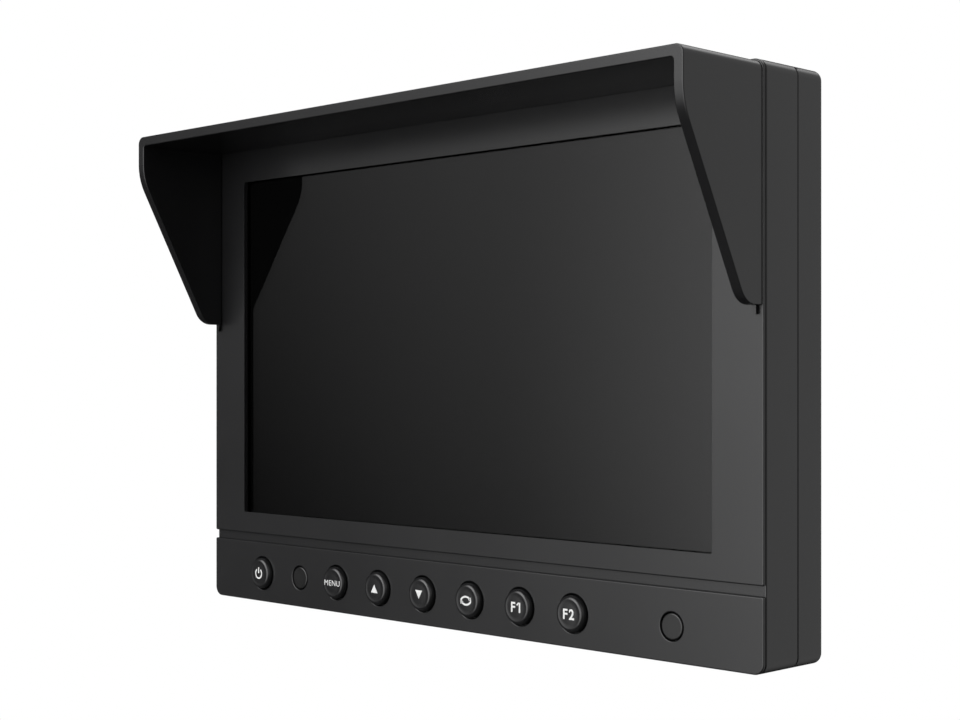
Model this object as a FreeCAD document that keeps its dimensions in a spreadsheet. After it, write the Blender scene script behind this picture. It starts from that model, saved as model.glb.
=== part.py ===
import FreeCAD, Part
import os
import re
import Sketcher
from FreeCAD import Placement, Rotation, Vector

# Vehicle monitor with a 7 inch wide screen, a row of push keys and a clip-on sun visor.
# Lengths are in millimetres. Every piece is drawn in front coordinates: x to the right from the
# middle, depth y from the plane of the two front plates towards the back, height z from the
# bottom face. The finished pieces are then moved, so that the origin is the middle of the
# mounting pattern on the rear face.

SIZES = {
    # body
    "case_width": (181.4, "width of the body"),
    "case_height": (122.7, "height of the body"),
    "body_depth": (20.8, "depth from the front plates to the rear face"),
    "corner_round": (2.4, "corner radius of the body seen from the front"),
    "side_wall": (2.2, "side, top and bottom wall"),
    "front_wall": (2.0, "front wall of the front case"),
    "rear_wall": (2.2, "rear wall of the rear case"),
    "seam_depth": (11.8, "depth of the seam between the two cases"),
    "seam_notch": (0.25, "chamfer on each side of the seam"),
    "rear_round": (0.9, "edge radius round the rear face"),
    "front_round": (0.3, "edge radius round the front case"),
    "fit_gap": (0.3, "clearance round a piece that sits in another"),
    # front plates
    "plate_thick": (0.9, "thickness of both front plates"),
    "lip_thick": (0.5, "thickness of the plates' full-size lip"),
    "lip_inset": (0.5, "how far the plates stand back behind their lip"),
    "plate_round": (0.3, "front edge radius of the plates"),
    "channel_round": (0.4, "corner radius of the plates at the channel"),
    "strip_height": (15.6, "height of the key strip plate"),
    "channel_width": (2.2, "channel between the two plates"),
    "window_sill": (5.5, "bezel below the screen window"),
    "window_round": (0.6, "corner radius of the window"),
    "peg_radius": (1.0, "locating pegs behind the plates"),
    "peg_length": (1.6, "length of the locating pegs"),
    "peg_clearance": (0.3, "clearance round a peg"),
    "peg_margin": (6.4, "side pegs inside the body's side"),
    "peg_spread": (31.0, "height between the side pegs"),
    "strip_peg_margin": (10.7, "end pegs of the key strip inside the body's side"),
    # screen
    "gasket_thick": (0.6, "gasket between plate and glass"),
    "gasket_inset": (0.4, "gasket's inner edge behind the window's edge"),
    "glass_thick": (1.5, "cover glass"),
    "glass_lap": (1.7, "how far the glass reaches behind the plate"),
    "glass_round": (1.0, "corner radius of the glass"),
    "panel_room": (8.25, "display panel's side inside the body's side"),
    "panel_headroom": (4.2, "display panel's top under the top wall"),
    "panel_side": (4.45, "panel's outline beyond the window on each side"),
    "panel_over": (4.8, "panel's outline above the window"),
    "panel_under": (7.2, "panel's outline below the window"),
    "panel_thick": (5.7, "thickness of the display panel"),
    "panel_gap": (0.2, "air before and behind the display panel"),
    "tray_wall": (1.2, "side wall of the panel tray"),
    "tray_floor": (0.8, "floor of the panel tray"),
    "cell_side": (2.5, "liquid crystal cell beyond the window on each side"),
    "cell_lap": (3.0, "liquid crystal cell above and below the window"),
    "cell_thick": (1.4, "thickness of the liquid crystal cell"),
    "guide_side": (1.0, "light guide beyond the window on each side"),
    "guide_lap": (2.0, "light guide above and below the window"),
    "guide_thick": (2.9, "thickness of the light guide"),
    "layer_gap": (0.15, "air between the panel's layers"),
    "led_strip_tall": (1.2, "height of the strip of lamps under the guide"),
    "led_strip_short": (4.0, "strip of lamps shorter than the guide at each end"),
    "rib_thick": (1.1, "ribs above and below the panel"),
    "rib_start": (42.0, "inner end of a rib"),
    "rib_length": (22.0, "length of a rib"),
    # panel bracket and main board
    "bracket_thick": (0.8, "sheet of the panel bracket"),
    "bracket_side": (4.45, "bracket's sheet inside the panel's sides"),
    "bracket_margin": (3.0, "bracket's edge inside the panel's outline"),
    "bracket_arm": (7.0, "height of the bracket's arms"),
    "bracket_post_radius": (2.5, "posts that carry the bracket"),
    "bracket_post_spread": (32.5, "bracket posts above and below the middle height"),
    "parts_room": (3.6, "room behind the main board for its parts"),
    "standoff_radius": (2.2, "radius of the pillars"),
    "board_thick": (1.6, "main board"),
    "board_gap": (6.0, "main board's edge beside the speaker"),
    "board_headroom": (30.0, "main board's top edge below the body's top"),
    "board_base": (8.0, "height of the main board's lower edge"),
    "standoff_edge": (4.0, "pillars inside the main board's sides"),
    "standoff_rise": (11.9, "lower pillars above the bracket's lower edge"),
    "standoff_drop": (5.0, "upper pillars below the main board's top edge"),
    "chip_side": (16.0, "side of the video chip"),
    "chip_thick": (1.5, "thickness of the video chip"),
    "shield_width": (30.0, "width of the shield can"),
    "shield_tall": (24.0, "height of the shield can"),
    "shield_thick": (2.4, "depth of the shield can"),
    "shield_gap": (3.0, "shield can beside the row of pillars"),
    "coil_gap": (2.0, "power coils above the insert bosses"),
    "coil_side": (8.0, "side of a power coil"),
    "coil_thick": (2.8, "depth of a power coil"),
    "coil_pitch": (12.0, "distance between power coils"),
    "capacitor_radius": (2.6, "radius of a capacitor"),
    "capacitor_thick": (3.0, "depth of a capacitor"),
    "capacitor_pitch": (8.0, "distance between capacitors"),
    "socket_thick": (1.0, "depth of a ribbon socket"),
    "socket_tall": (4.0, "height of a ribbon socket"),
    "socket_height": (20.0, "height of the ribbon sockets' lower edge"),
    # keys
    "key_height": (7.5, "height of the row of keys"),
    "key_pitch": (16.0, "distance between keys"),
    "key_margin": (20.7, "power key inside the body's left side"),
    "eye_step": (15.5, "from the power key to the receiver window"),
    "menu_step": (30.0, "from the power key to the menu key"),
    "key_hole_radius": (4.4, "key holes in the strip"),
    "key_radius": (4.05, "key caps"),
    "key_proud": (1.35, "how far the caps stand out of the strip"),
    "key_round": (1.0, "front edge radius of the caps"),
    "flange_radius": (5.0, "flange that keeps a cap in"),
    "flange_thick": (1.0, "thickness of the flange"),
    "flange_flat": (4.25, "flats above and below, which keep a cap from turning"),
    "key_slack": (0.1, "gap between flange and front wall"),
    "stem_radius": (1.5, "stem behind the flange"),
    "stem_length": (1.0, "length of the stem"),
    "key_travel": (0.5, "travel of a key"),
    "key_post_length": (6.1, "posts that carry the key board"),
    "key_post_radius": (1.9, "radius of the key board's posts"),
    "key_post_rise": (3.5, "height of the posts above the row of keys"),
    "end_post_step": (6.2, "last post beside the light sensor window"),
    "key_board_end": (14.7, "key board's ends inside the body's sides"),
    "key_board_thick": (1.2, "thickness of the key board"),
    "key_board_tall": (10.0, "height of the key board"),
    "switch_side": (6.0, "side of a switch housing"),
    "switch_tall": (3.1, "height of a switch housing off the board"),
    "plunger_radius": (1.7, "switch plunger"),
    "plunger_clearance": (0.35, "clearance round the plunger"),
    "plunger_sunk": (1.7, "plunger's length inside its housing"),
    "plunger_spare": (0.3, "room left under a pressed plunger"),
    # windows for the receiver and the light sensor
    "sensor_margin": (23.2, "light sensor window inside the body's right side"),
    "eye_hole_radius": (3.1, "hole of both windows"),
    "hole_round": (0.2, "front edge radius of the holes in the key strip"),
    "eye_radius": (2.8, "both windows"),
    "eye_flange_radius": (3.8, "flange behind the front wall"),
    "eye_flange_thick": (0.8, "thickness of that flange"),
    "eye_sunk": (0.05, "window face behind the strip's face"),
    "receiver_side": (5.4, "side of the infrared receiver"),
    "receiver_thick": (3.0, "depth of the infrared receiver"),
    "receiver_dome": (1.9, "radius of the receiver's dome"),
    "receiver_dome_tall": (1.4, "height of the receiver's dome"),
    "sensor_side": (3.0, "side of the light sensor"),
    "sensor_thick": (1.0, "depth of the light sensor"),
    # screws
    "boss_radius": (3.0, "bosses of the case screws"),
    "boss_gap": (0.45, "bosses beside the display panel"),
    "boss_margin": (10.0, "corner screws' distance from top and bottom"),
    "case_screw_radius": (1.25, "shank of a case screw"),
    "case_screw_head": (2.2, "head radius of a case screw"),
    "case_screw_head_tall": (1.6, "head height of a case screw"),
    "case_screw_sunk": (1.8, "depth of the counterbore"),
    "case_screw_reach": (6.5, "depth of the thread in the front case"),
    "screw_clearance": (0.05, "clearance round a thread"),
    "pass_clearance": (0.3, "clearance where a screw passes through"),
    "small_screw_radius": (1.0, "shank of a small screw"),
    "small_screw_head": (1.9, "head radius of a small screw"),
    "small_screw_head_tall": (1.1, "head height of a small screw"),
    "small_screw_length": (4.0, "length of a small screw's shank"),
    # rear
    "mount_height": (61.0, "height of the mounting pattern's middle"),
    "mount_pitch": (75.0, "side of the square mounting pattern"),
    "insert_bore": (2.0, "bore of an M4 insert"),
    "insert_radius": (2.75, "outer radius of an insert"),
    "insert_length": (5.0, "length of an insert"),
    "insert_boss_radius": (4.5, "boss round an insert"),
    "insert_floor": (0.2, "boss floor behind an insert"),
    "seal_width": (0.9, "width of the case seal"),
    "seal_tall": (0.8, "depth of the case seal"),
    "seal_inset": (0.65, "seal's outer edge inside the case's outline"),
    "seal_clearance": (0.1, "seal groove wider than the seal on each side"),
    # ribbons
    "ribbon_thick": (0.3, "thickness of a flat ribbon"),
    "lcd_ribbon_column": (-20.0, "place of the display ribbon"),
    "ribbon_drop": (0.9, "display ribbon's lowest edge below the panel"),
    "ribbon_margin": (3.0, "socket wider than its ribbon"),
    "lcd_ribbon_width": (30.0, "width of the display ribbon"),
    "key_ribbon_width": (12.0, "width of the key ribbon"),
    # speaker
    "speaker_margin": (22.7, "speaker's middle inside the body's left side"),
    "speaker_height": (32.0, "height of the speaker's middle"),
    "speaker_width": (28.0, "width of the speaker frame"),
    "speaker_tall": (40.0, "height of the speaker frame"),
    "speaker_thick": (3.7, "depth of the speaker frame"),
    "speaker_wall": (1.5, "wall of the speaker frame"),
    "speaker_ear": (5.0, "height of each screw ear"),
    "ear_thick": (1.2, "thickness of a screw ear"),
    "membrane_thick": (0.3, "sealing membrane behind the slots"),
    "cone_thick": (0.6, "speaker cone"),
    "cone_margin": (0.4, "gap round the cone"),
    "magnet_radius": (7.0, "speaker magnet"),
    "magnet_thick": (1.8, "depth of the magnet"),
    "slot_width": (1.6, "speaker slot"),
    "slot_tall": (24.0, "height of a speaker slot"),
    "slot_pitch": (3.6, "distance between speaker slots"),
    "lead_radius": (0.6, "speaker lead"),
    "terminal_width": (4.0, "width of the lead's socket"),
    "terminal_tall": (6.0, "height of the lead's socket"),
    "terminal_thick": (2.0, "depth of the lead's socket"),
    "terminal_height": (40.0, "height of the lead"),
    # cable inlet
    "inlet_height": (17.0, "height of the cable inlet"),
    "inlet_radius": (8.0, "outer radius of the inlet shell"),
    "inlet_bore": (6.5, "bore that takes the plug"),
    "inlet_depth": (4.4, "depth of that bore"),
    "inlet_sunk": (0.2, "shell's end behind the rear face"),
    "inlet_flange_radius": (9.8, "flange inside the rear wall"),
    "inlet_flange_thick": (1.3, "thickness of the flange"),
    "inlet_seal_thick": (0.6, "seal under the flange"),
    "inlet_insert_radius": (5.8, "insulating insert"),
    "contact_radius": (0.55, "bore of a contact"),
    "contact_wall": (0.25, "wall of a contact"),
    "contact_ring": (3.9, "radius of the ring of contacts"),
    # sun visor
    "visor_reach": (25.2, "visor's front edge before the plates"),
    "visor_wall": (2.4, "wall of the visor"),
    "visor_inset": (0.3, "visor's side faces inside the body's sides"),
    "visor_top_inset": (0.5, "visor's top under the body's top"),
    "visor_round": (1.9, "top corner radius of the visor"),
    "visor_inner_round": (0.8, "inner corner radius of the visor"),
    "visor_gap": (0.3, "gap between visor and plate"),
    "visor_rim": (0.25, "edge radius round the visor's rim"),
    "wing_drop": (49.1, "wings' lower edge below the body's top"),
    "knee_drop": (11.45, "where the slant meets the front edge, below the body's top"),
    "wing_toe": (5.45, "where the slant meets the lower edge"),
    "wing_toe_round": (5.0, "radius there"),
    "wing_knee_round": (15.0, "radius there"),
    "foot_tall": (1.8, "foot under each wing"),
    "foot_thick": (0.5, "depth of the foot"),
    "foot_inset": (1.0, "foot's outer side inside the wing's outer face"),
    "foot_ledge": (0.0, "foot's inner side inside the wing's inner face"),
    "foot_slant": (0.6, "how much narrower the foot gets at its tip"),
    "tab_thick": (1.1, "visor tabs"),
    "tab_length": (2.8, "length of the visor tabs"),
    "tab_width": (8.0, "width of a visor tab"),
    "tab_clearance": (0.2, "clearance round a tab"),
    "tab_rise": (10.4, "lower wing tabs above the wings' lower edge"),
    "tab_drop": (15.0, "upper wing tabs below the body's top"),
    "top_tab_column": (55.0, "top tabs' distance from the middle"),
}

FORMULAS = {
    "front_plane": "0",
    "bottom_plane": "0",
    "middle_line": "0",
    "half_width": "case_width / 2",
    "inner_half": "half_width - side_wall",
    "inner_top": "case_height - side_wall",
    "middle_height": "case_height / 2",
    "inner_front": "plate_thick + front_wall",
    "inner_rear": "body_depth - rear_wall",
    "bezel_base": "strip_height + channel_width",
    "window_base": "bezel_base + window_sill",
    "half_panel": "half_width - panel_room",
    "panel_top": "inner_top - panel_headroom",
    "panel_base": "window_base - panel_under",
    "half_window": "half_panel - panel_side",
    "window_top": "panel_top - panel_over",
    "window_middle": "(window_base + window_top) / 2",
    "glass_front": "plate_thick + gasket_thick",
    "half_glass": "half_window + glass_lap",
    "glass_base": "window_base - glass_lap",
    "glass_top": "window_top + glass_lap",
    "panel_front": "glass_front + glass_thick + panel_gap",
    "panel_rear": "panel_front + panel_thick",
    "half_cell": "half_window + cell_side",
    "half_guide": "half_window + guide_side",
    "guide_base": "window_base - guide_lap",
    "half_led_strip": "half_guide - led_strip_short",
    "rib_low": "panel_base - fit_gap - rib_thick",
    "cell_front": "panel_front + layer_gap",
    "guide_front": "cell_front + cell_thick + layer_gap",
    "bracket_front": "panel_rear + panel_gap",
    "bracket_rear": "bracket_front + bracket_thick",
    "half_bracket": "half_panel - bracket_side",
    "bracket_base": "panel_base + bracket_margin",
    "bracket_post_column": "(half_panel + inner_half) / 2",
    "bracket_low": "middle_height - bracket_post_spread",
    "bracket_high": "middle_height + bracket_post_spread",
    "board_rear": "inner_rear - parts_room",
    "board_front": "board_rear - board_thick",
    "standoff_length": "board_front - bracket_rear",
    "half_board": "-speaker_column - half_speaker - board_gap",
    "board_top": "case_height - board_headroom",
    "board_middle": "(board_base + board_top) / 2",
    "standoff_column": "half_board - standoff_edge",
    "standoff_low": "bracket_base + standoff_rise",
    "standoff_high": "board_top - standoff_drop",
    "coil_row": "mount_height - half_mount + insert_boss_radius + coil_gap + coil_side / 2",
    "socket_front": "board_front - socket_thick",
    "power_column": "-half_width + key_margin",
    "eye_column": "power_column + eye_step",
    "menu_column": "power_column + menu_step",
    "sensor_column": "half_width - sensor_margin",
    "key_post_height": "key_height + key_post_rise",
    "key_ribbon_column": "menu_column + 4.25 * key_pitch",
    "half_key_board": "half_width - key_board_end",
    "flange_front": "inner_front + key_slack",
    "flange_rear": "flange_front + flange_thick",
    "stem_end": "flange_rear + stem_length",
    "key_board_front": "inner_front + key_post_length",
    "key_board_rear": "key_board_front + key_board_thick",
    "key_board_base": "(side_wall + rib_low - key_board_tall) / 2",
    "switch_front": "key_board_front - switch_tall",
    "plunger_end": "switch_front + plunger_sunk",
    "switch_bore_depth": "plunger_sunk + key_travel + plunger_spare",
    "boss_column": "half_panel + boss_gap + boss_radius",
    "top_screw_row": "case_height - boss_margin",
    "case_screw_seat": "body_depth - case_screw_sunk",
    "half_mount": "mount_pitch / 2",
    "insert_hole_radius": "insert_radius + screw_clearance",
    "insert_front": "body_depth - insert_length",
    "speaker_rear": "inner_rear - membrane_thick",
    "speaker_front": "speaker_rear - speaker_thick",
    "speaker_column": "-half_width + speaker_margin",
    "half_speaker": "speaker_width / 2",
    "speaker_base": "speaker_height - speaker_tall / 2",
    "speaker_top": "speaker_height + speaker_tall / 2",
    "ear_front": "speaker_rear - ear_thick",
    "inlet_end": "body_depth - inlet_sunk",
    "inlet_floor": "inlet_end - inlet_depth",
    "inlet_flange_rear": "inner_rear - inlet_seal_thick",
    "wing_base": "case_height - wing_drop",
    "wing_knee": "case_height - knee_drop",
    "wing_tab_low": "wing_base + tab_rise",
    "wing_tab_high": "case_height - tab_drop",
    "visor_half": "half_width - visor_inset",
    "visor_top": "case_height - visor_top_inset",
    "wing_tab_middle": "visor_half - visor_wall / 2",
    "top_tab_middle": "visor_top - visor_wall / 2",
}

doc = FreeCAD.newDocument("VehicleMonitor")


def make_sheet():
    """The driving sizes, one to a row: name, value and meaning."""
    result = doc.addObject("Spreadsheet::Sheet", "Sizes")
    for row, (name, (size, meaning)) in enumerate(SIZES.items(), start=1):
        result.set("A%d" % row, name)
        result.set("B%d" % row, str(size))
        result.set("C%d" % row, meaning)
        result.setAlias("B%d" % row, name)
    doc.recompute()
    return result


sheet = make_sheet()


def bound(formula):
    """A formula in the names above, written so that it reads the sheet."""
    def expand(match):
        word = match.group(0)
        if word in FORMULAS:
            return "(" + bound(FORMULAS[word]) + ")"
        if word in SIZES:
            return "Sizes." + word
        return word
    return re.sub(r"[a-z_]+", expand, formula)


def value(formula):
    """What a formula comes to, as a number."""
    return float(sheet.evalExpression(bound(formula)))


# Sketches and features

def origin_plane(body, role):
    for feature in body.Origin.OriginFeatures:
        if feature.Role == role:
            return feature
    raise ValueError("no plane " + role)


def make_body(label):
    body = doc.addObject("PartDesign::Body", label)
    body.Label = label
    return body


def make_sketch(body, role, offset):
    sketch = body.newObject("Sketcher::SketchObject", "Sketch")
    sketch.AttachmentSupport = [(origin_plane(body, role), "")]
    sketch.MapMode = "FlatFace"
    sketch.setExpression("AttachmentOffset.Base.z", offset)
    return sketch


def front_sketch(body, depth):
    """A sketch seen from the front, at a depth behind the plates' plane."""
    return make_sketch(body, "XZ_Plane", "-(" + bound(depth) + ")")


def side_sketch(body, x):
    """A sketch seen from the right, in depth and height, at a distance from the middle."""
    return make_sketch(body, "YZ_Plane", bound(x))


def pin_point(sketch, geometry, point, across, up):
    """Bind one point of a sketch to two formulas."""
    for kind, formula in (("DistanceX", across), ("DistanceY", up)):
        rule = Sketcher.Constraint(kind, -1, 1, geometry, point, value(formula))
        index = sketch.addConstraint(rule)
        sketch.setExpression("Constraints[%d]" % index, bound(formula))


def draw_outline(sketch, corners):
    """A closed outline of straight lines through corners given as formulas."""
    first = sketch.GeometryCount
    points = [Vector(value(across), value(up), 0) for across, up in corners]
    count = len(points)
    for index in range(count):
        line = Part.LineSegment(points[index], points[(index + 1) % count])
        sketch.addGeometry(line, False)
    for index in range(count):
        after = first + (index + 1) % count
        sketch.addConstraint(Sketcher.Constraint("Coincident", first + index, 2, after, 1))
    for index, (across, up) in enumerate(corners):
        pin_point(sketch, first + index, 1, across, up)


def draw_rectangle(sketch, left, right, low, high):
    draw_outline(sketch, [(left, low), (right, low), (right, high), (left, high)])


def draw_circle(sketch, across, up, radius):
    middle = Vector(value(across), value(up), 0)
    circle = Part.Circle(middle, Vector(0, 0, 1), value(radius))
    geometry = sketch.addGeometry(circle, False)
    pin_point(sketch, geometry, 3, across, up)
    index = sketch.addConstraint(Sketcher.Constraint("Radius", geometry, value(radius)))
    sketch.setExpression("Constraints[%d]" % index, bound(radius))


def add_pad(body, sketch, length, towards_front=False):
    """Raise a sketch into the solid. A front sketch grows backwards unless told otherwise."""
    feature = body.newObject("PartDesign::Pad", "Pad")
    feature.Profile = sketch
    feature.setExpression("Length", bound(length))
    feature.Reversed = not towards_front
    doc.recompute()
    return feature


def add_pocket(body, sketch, length, reverse=False):
    """Cut a sketch out of the solid and make sure that it did cut."""
    before = body.Shape.Volume
    feature = body.newObject("PartDesign::Pocket", "Pocket")
    feature.Profile = sketch
    feature.setExpression("Length", bound(length))
    feature.Reversed = reverse
    doc.recompute()
    if body.Shape.Volume >= before:
        raise ValueError("a pocket of " + body.Label + " cuts nothing")
    return feature


def find_edges(body, test):
    """Names of the edges of a body's last feature that pass a test."""
    names = []
    for index, edge in enumerate(body.Tip.Shape.Edges, start=1):
        if test(edge):
            names.append("Edge%d" % index)
    if not names:
        raise ValueError("no edges found on " + body.Label)
    return names


def add_dress(body, kind, names, amount):
    """A fillet or a chamfer on named edges of the body's last feature."""
    base = body.Tip
    feature = body.newObject("PartDesign::" + kind, kind)
    feature.Base = (base, names)
    feature.setExpression("Radius" if kind == "Fillet" else "Size", bound(amount))
    doc.recompute()
    return feature


TOUCH = 0.01


def near(first, second):
    return abs(first - second) < TOUCH


def runs_along(edge, axis):
    """Whether an edge is a straight line along one axis."""
    if len(edge.Vertexes) != 2 or not isinstance(edge.Curve, Part.Line):
        return False
    along = edge.Vertexes[1].Point - edge.Vertexes[0].Point
    others = [abs(along[index]) for index in range(3) if index != axis]
    return max(others) < TOUCH


def round_corners(body, corners, radius, axis=1):
    """Round the straight edges that run along an axis through corners given as formulas."""
    others = [index for index in range(3) if index != axis]
    places = [(value(first), value(second)) for first, second in corners]

    def test(edge):
        if not runs_along(edge, axis):
            return False
        point = edge.Vertexes[0].Point
        return any(near(point[others[0]], first) and near(point[others[1]], second)
                   for first, second in places)
    add_dress(body, "Fillet", find_edges(body, test), radius)


def corners_of(left, right, low, high):
    return [(left, low), (right, low), (right, high), (left, high)]


def outer_rim(depth, left, right, low, high):
    """A test for the edges of an outline in one plane across the depth."""
    plane = value(depth)
    sides = (value(left), value(right))
    ends = (value(low), value(high))

    def test(edge):
        box = edge.BoundBox
        if not (near(box.YMin, plane) and near(box.YMax, plane)):
            return False
        for point in edge.discretize(3):
            inside = sides[0] + TOUCH < point.x < sides[1] - TOUCH
            between = ends[0] + TOUCH < point.z < ends[1] - TOUCH
            if inside and between and not near_corner(point, sides, ends):
                return False
        return True
    return test


def near_corner(point, sides, ends):
    """Whether a point lies in the rounded corner of an outline."""
    reach = value("corner_round") + TOUCH
    across = min(abs(point.x - sides[0]), abs(point.x - sides[1]))
    up = min(abs(point.z - ends[0]), abs(point.z - ends[1]))
    return across < reach / 2 and up < reach / 2


# Simple solids and groups

BACKWARDS = Rotation(Vector(1, 0, 0), -90)
pieces = []


def finish(piece, label):
    """Name a finished piece and move it to the frame of the mounting pattern."""
    piece.Label = label
    piece.setExpression("Placement.Base.y", bound("-body_depth"))
    piece.setExpression("Placement.Base.z", bound("-mount_height"))
    pieces.append(piece)
    return piece


def place(solid, x, depth, z):
    for axis, formula in (("x", x), ("y", depth), ("z", z)):
        solid.setExpression("Placement.Base." + axis, bound(formula))


def rod(x, z, depth, radius, length):
    """A round rod that runs backwards from a depth."""
    solid = doc.addObject("Part::Cylinder", "Rod")
    solid.Placement = Placement(Vector(), BACKWARDS)
    solid.setExpression("Radius", bound(radius))
    solid.setExpression("Height", bound(length))
    place(solid, x, depth, z)
    return solid


def block(x, z, depth, width, tall, length):
    """A block in the middle of x and z that runs backwards from a depth."""
    solid = doc.addObject("Part::Box", "Block")
    solid.setExpression("Length", bound(width))
    solid.setExpression("Width", bound(length))
    solid.setExpression("Height", bound(tall))
    place(solid, "%s - (%s) / 2" % (x, width), depth, "%s - (%s) / 2" % (z, tall))
    return solid


def cut(base, tool):
    result = doc.addObject("Part::Cut", "Cut")
    result.Base = base
    result.Tool = tool
    return result


def fuse(solids):
    result = doc.addObject("Part::MultiFuse", "Fusion")
    result.Shapes = solids
    return result


def group(label, solids):
    """Separate solids of one kind that share a node."""
    result = doc.addObject("Part::Compound", label)
    result.Links = solids
    return finish(result, label)


def screw(x, z, seat, radius, length, head, head_tall):
    """A screw from behind: its shank runs forwards from the seat and its head lies behind it."""
    shank = rod(x, z, "%s - (%s)" % (seat, length), radius, length)
    top = rod(x, z, seat, head, head_tall)
    return fuse([shank, top])


def small_screw(x, z, seat):
    return screw(x, z, seat, "small_screw_radius", "small_screw_length",
                 "small_screw_head", "small_screw_head_tall")


# Places that several pieces share

KEYS = {
    "power_key": "power_column",
    "menu_key": "menu_column",
    "up_key": "menu_column + key_pitch",
    "down_key": "menu_column + 2 * key_pitch",
    "source_key": "menu_column + 3 * key_pitch",
    "first_key": "menu_column + 4 * key_pitch",
    "second_key": "menu_column + 5 * key_pitch",
}
EYES = ["eye_column", "sensor_column"]
KEY_POSTS = ["(power_column + eye_column) / 2", "menu_column + 0.5 * key_pitch",
             "menu_column + 3.5 * key_pitch", "sensor_column + end_post_step"]
CASE_SCREWS = [(side + "boss_column", row) for side in ("-", "")
               for row in ("boss_margin", "middle_height", "top_screw_row")]
BRACKET_POSTS = [(side + "bracket_post_column", row) for side in ("-", "")
                 for row in ("bracket_low", "bracket_high")]
STANDOFFS = [(side + "standoff_column", row) for side in ("-", "")
             for row in ("standoff_low", "standoff_high")]
INSERTS = [(side + "half_mount", "mount_height " + up + " half_mount") for side in ("-", "")
           for up in ("-", "+")]
SPEAKER_EARS = ["speaker_base - speaker_ear / 2", "speaker_top + speaker_ear / 2"]
BEZEL_PEGS = [(side + "(half_width - peg_margin)", "window_middle " + up) for side in ("-", "")
              for up in ("- peg_spread", "", "+ peg_spread")]
STRIP_PEGS = ["-half_width + strip_peg_margin", "menu_column + 2.5 * key_pitch",
              "half_width - strip_peg_margin"]
WING_TABS = [(side, row) for side in ("-", "") for row in ("wing_tab_low", "wing_tab_high")]
TOP_TABS = ["-top_tab_column", "top_tab_column"]
BODY = ("-half_width", "half_width", "bottom_plane", "case_height")


def tab_outlines(grow):
    """The four sides of every visor tab, or of its slot when grown by a clearance."""
    outlines = []
    for side, row in WING_TABS:
        middle = side + "wing_tab_middle"
        outlines.append((middle + " - (tab_thick / 2 + %s)" % grow,
                         middle + " + (tab_thick / 2 + %s)" % grow,
                         row + " - (tab_width / 2 + %s)" % grow,
                         row + " + (tab_width / 2 + %s)" % grow))
    for column in TOP_TABS:
        middle = "top_tab_middle"
        outlines.append((column + " - (tab_width / 2 + %s)" % grow,
                         column + " + (tab_width / 2 + %s)" % grow,
                         middle + " - (tab_thick / 2 + %s)" % grow,
                         middle + " + (tab_thick / 2 + %s)" % grow))
    return outlines


# Front plates

def make_plate(label, low, high, outer_row, channel_row, openings, pegs):
    """A front plate: a full-size lip, a set-back seat behind it and pegs for the front case."""
    body = make_body(label)
    inside = ("-half_width + lip_inset", "half_width - lip_inset",
              low + " + lip_inset", high + " - lip_inset")
    seat = front_sketch(body, "front_plane")
    draw_rectangle(seat, *inside)
    add_pad(body, seat, "plate_thick")
    inward = " - lip_inset" if outer_row == high else " + lip_inset"
    seat_corners = [(column, outer_row + inward) for column in inside[:2]]
    round_corners(body, seat_corners, "corner_round - lip_inset")
    sketch = front_sketch(body, "front_plane")
    draw_rectangle(sketch, "-half_width", "half_width", low, high)
    add_pad(body, sketch, "lip_thick")
    outer = [("-half_width", outer_row), ("half_width", outer_row)]
    round_corners(body, outer, "corner_round")
    channel = [("-half_width", channel_row), ("half_width", channel_row)]
    round_corners(body, channel, "channel_round")
    openings(body)
    front = outer_rim("front_plane", "-half_width", "half_width", low, high)
    add_dress(body, "Fillet", find_edges(body, front), "plate_round")
    peg_sketch = front_sketch(body, "plate_thick")
    for x, z in pegs:
        draw_circle(peg_sketch, x, z, "peg_radius")
    add_pad(body, peg_sketch, "peg_length")
    return finish(body, label)


def cut_window(body):
    window = ("-half_window", "half_window", "window_base", "window_top")
    sketch = front_sketch(body, "front_plane")
    draw_rectangle(sketch, *window)
    add_pocket(body, sketch, "plate_thick")
    round_corners(body, corners_of(*window), "window_round")
    slots = front_sketch(body, "front_plane")
    for outline in tab_outlines("tab_clearance"):
        draw_rectangle(slots, *outline)
    add_pocket(body, slots, "plate_thick")


def draw_strip_holes(sketch):
    for column in KEYS.values():
        draw_circle(sketch, column, "key_height", "key_hole_radius")
    for column in EYES:
        draw_circle(sketch, column, "key_height", "eye_hole_radius")


def cut_strip(body):
    sketch = front_sketch(body, "front_plane")
    draw_strip_holes(sketch)
    add_pocket(body, sketch, "plate_thick")
    front = value("front_plane")
    radii = [value("key_hole_radius"), value("eye_hole_radius")]

    def hole_edge(edge):
        box = edge.BoundBox
        flat = near(box.YMin, front) and near(box.YMax, front)
        return flat and any(near(box.XLength, 2 * radius) for radius in radii)
    add_dress(body, "Fillet", find_edges(body, hole_edge), "hole_round")


def make_bezel_frame():
    make_plate("bezel_frame", "bezel_base", "case_height", "case_height", "bezel_base",
               cut_window, BEZEL_PEGS)


def make_button_panel():
    pegs = [(x, "key_height") for x in STRIP_PEGS]
    make_plate("button_panel", "bottom_plane", "strip_height", "bottom_plane",
               "strip_height", cut_strip, pegs)


# Cases

def pad_shell(body, front, rear, cavity_front, cavity_rear):
    """A rounded box between two depths, hollowed between two others."""
    sketch = front_sketch(body, front)
    draw_rectangle(sketch, *BODY)
    add_pad(body, sketch, "%s - (%s)" % (rear, front))
    round_corners(body, corners_of(*BODY), "corner_round")
    inside = ("-inner_half", "inner_half", "side_wall", "inner_top")
    hollow = front_sketch(body, cavity_front)
    draw_rectangle(hollow, *inside)
    add_pocket(body, hollow, "%s - (%s)" % (cavity_rear, cavity_front))
    round_corners(body, corners_of(*inside), "corner_round / 2")


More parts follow.
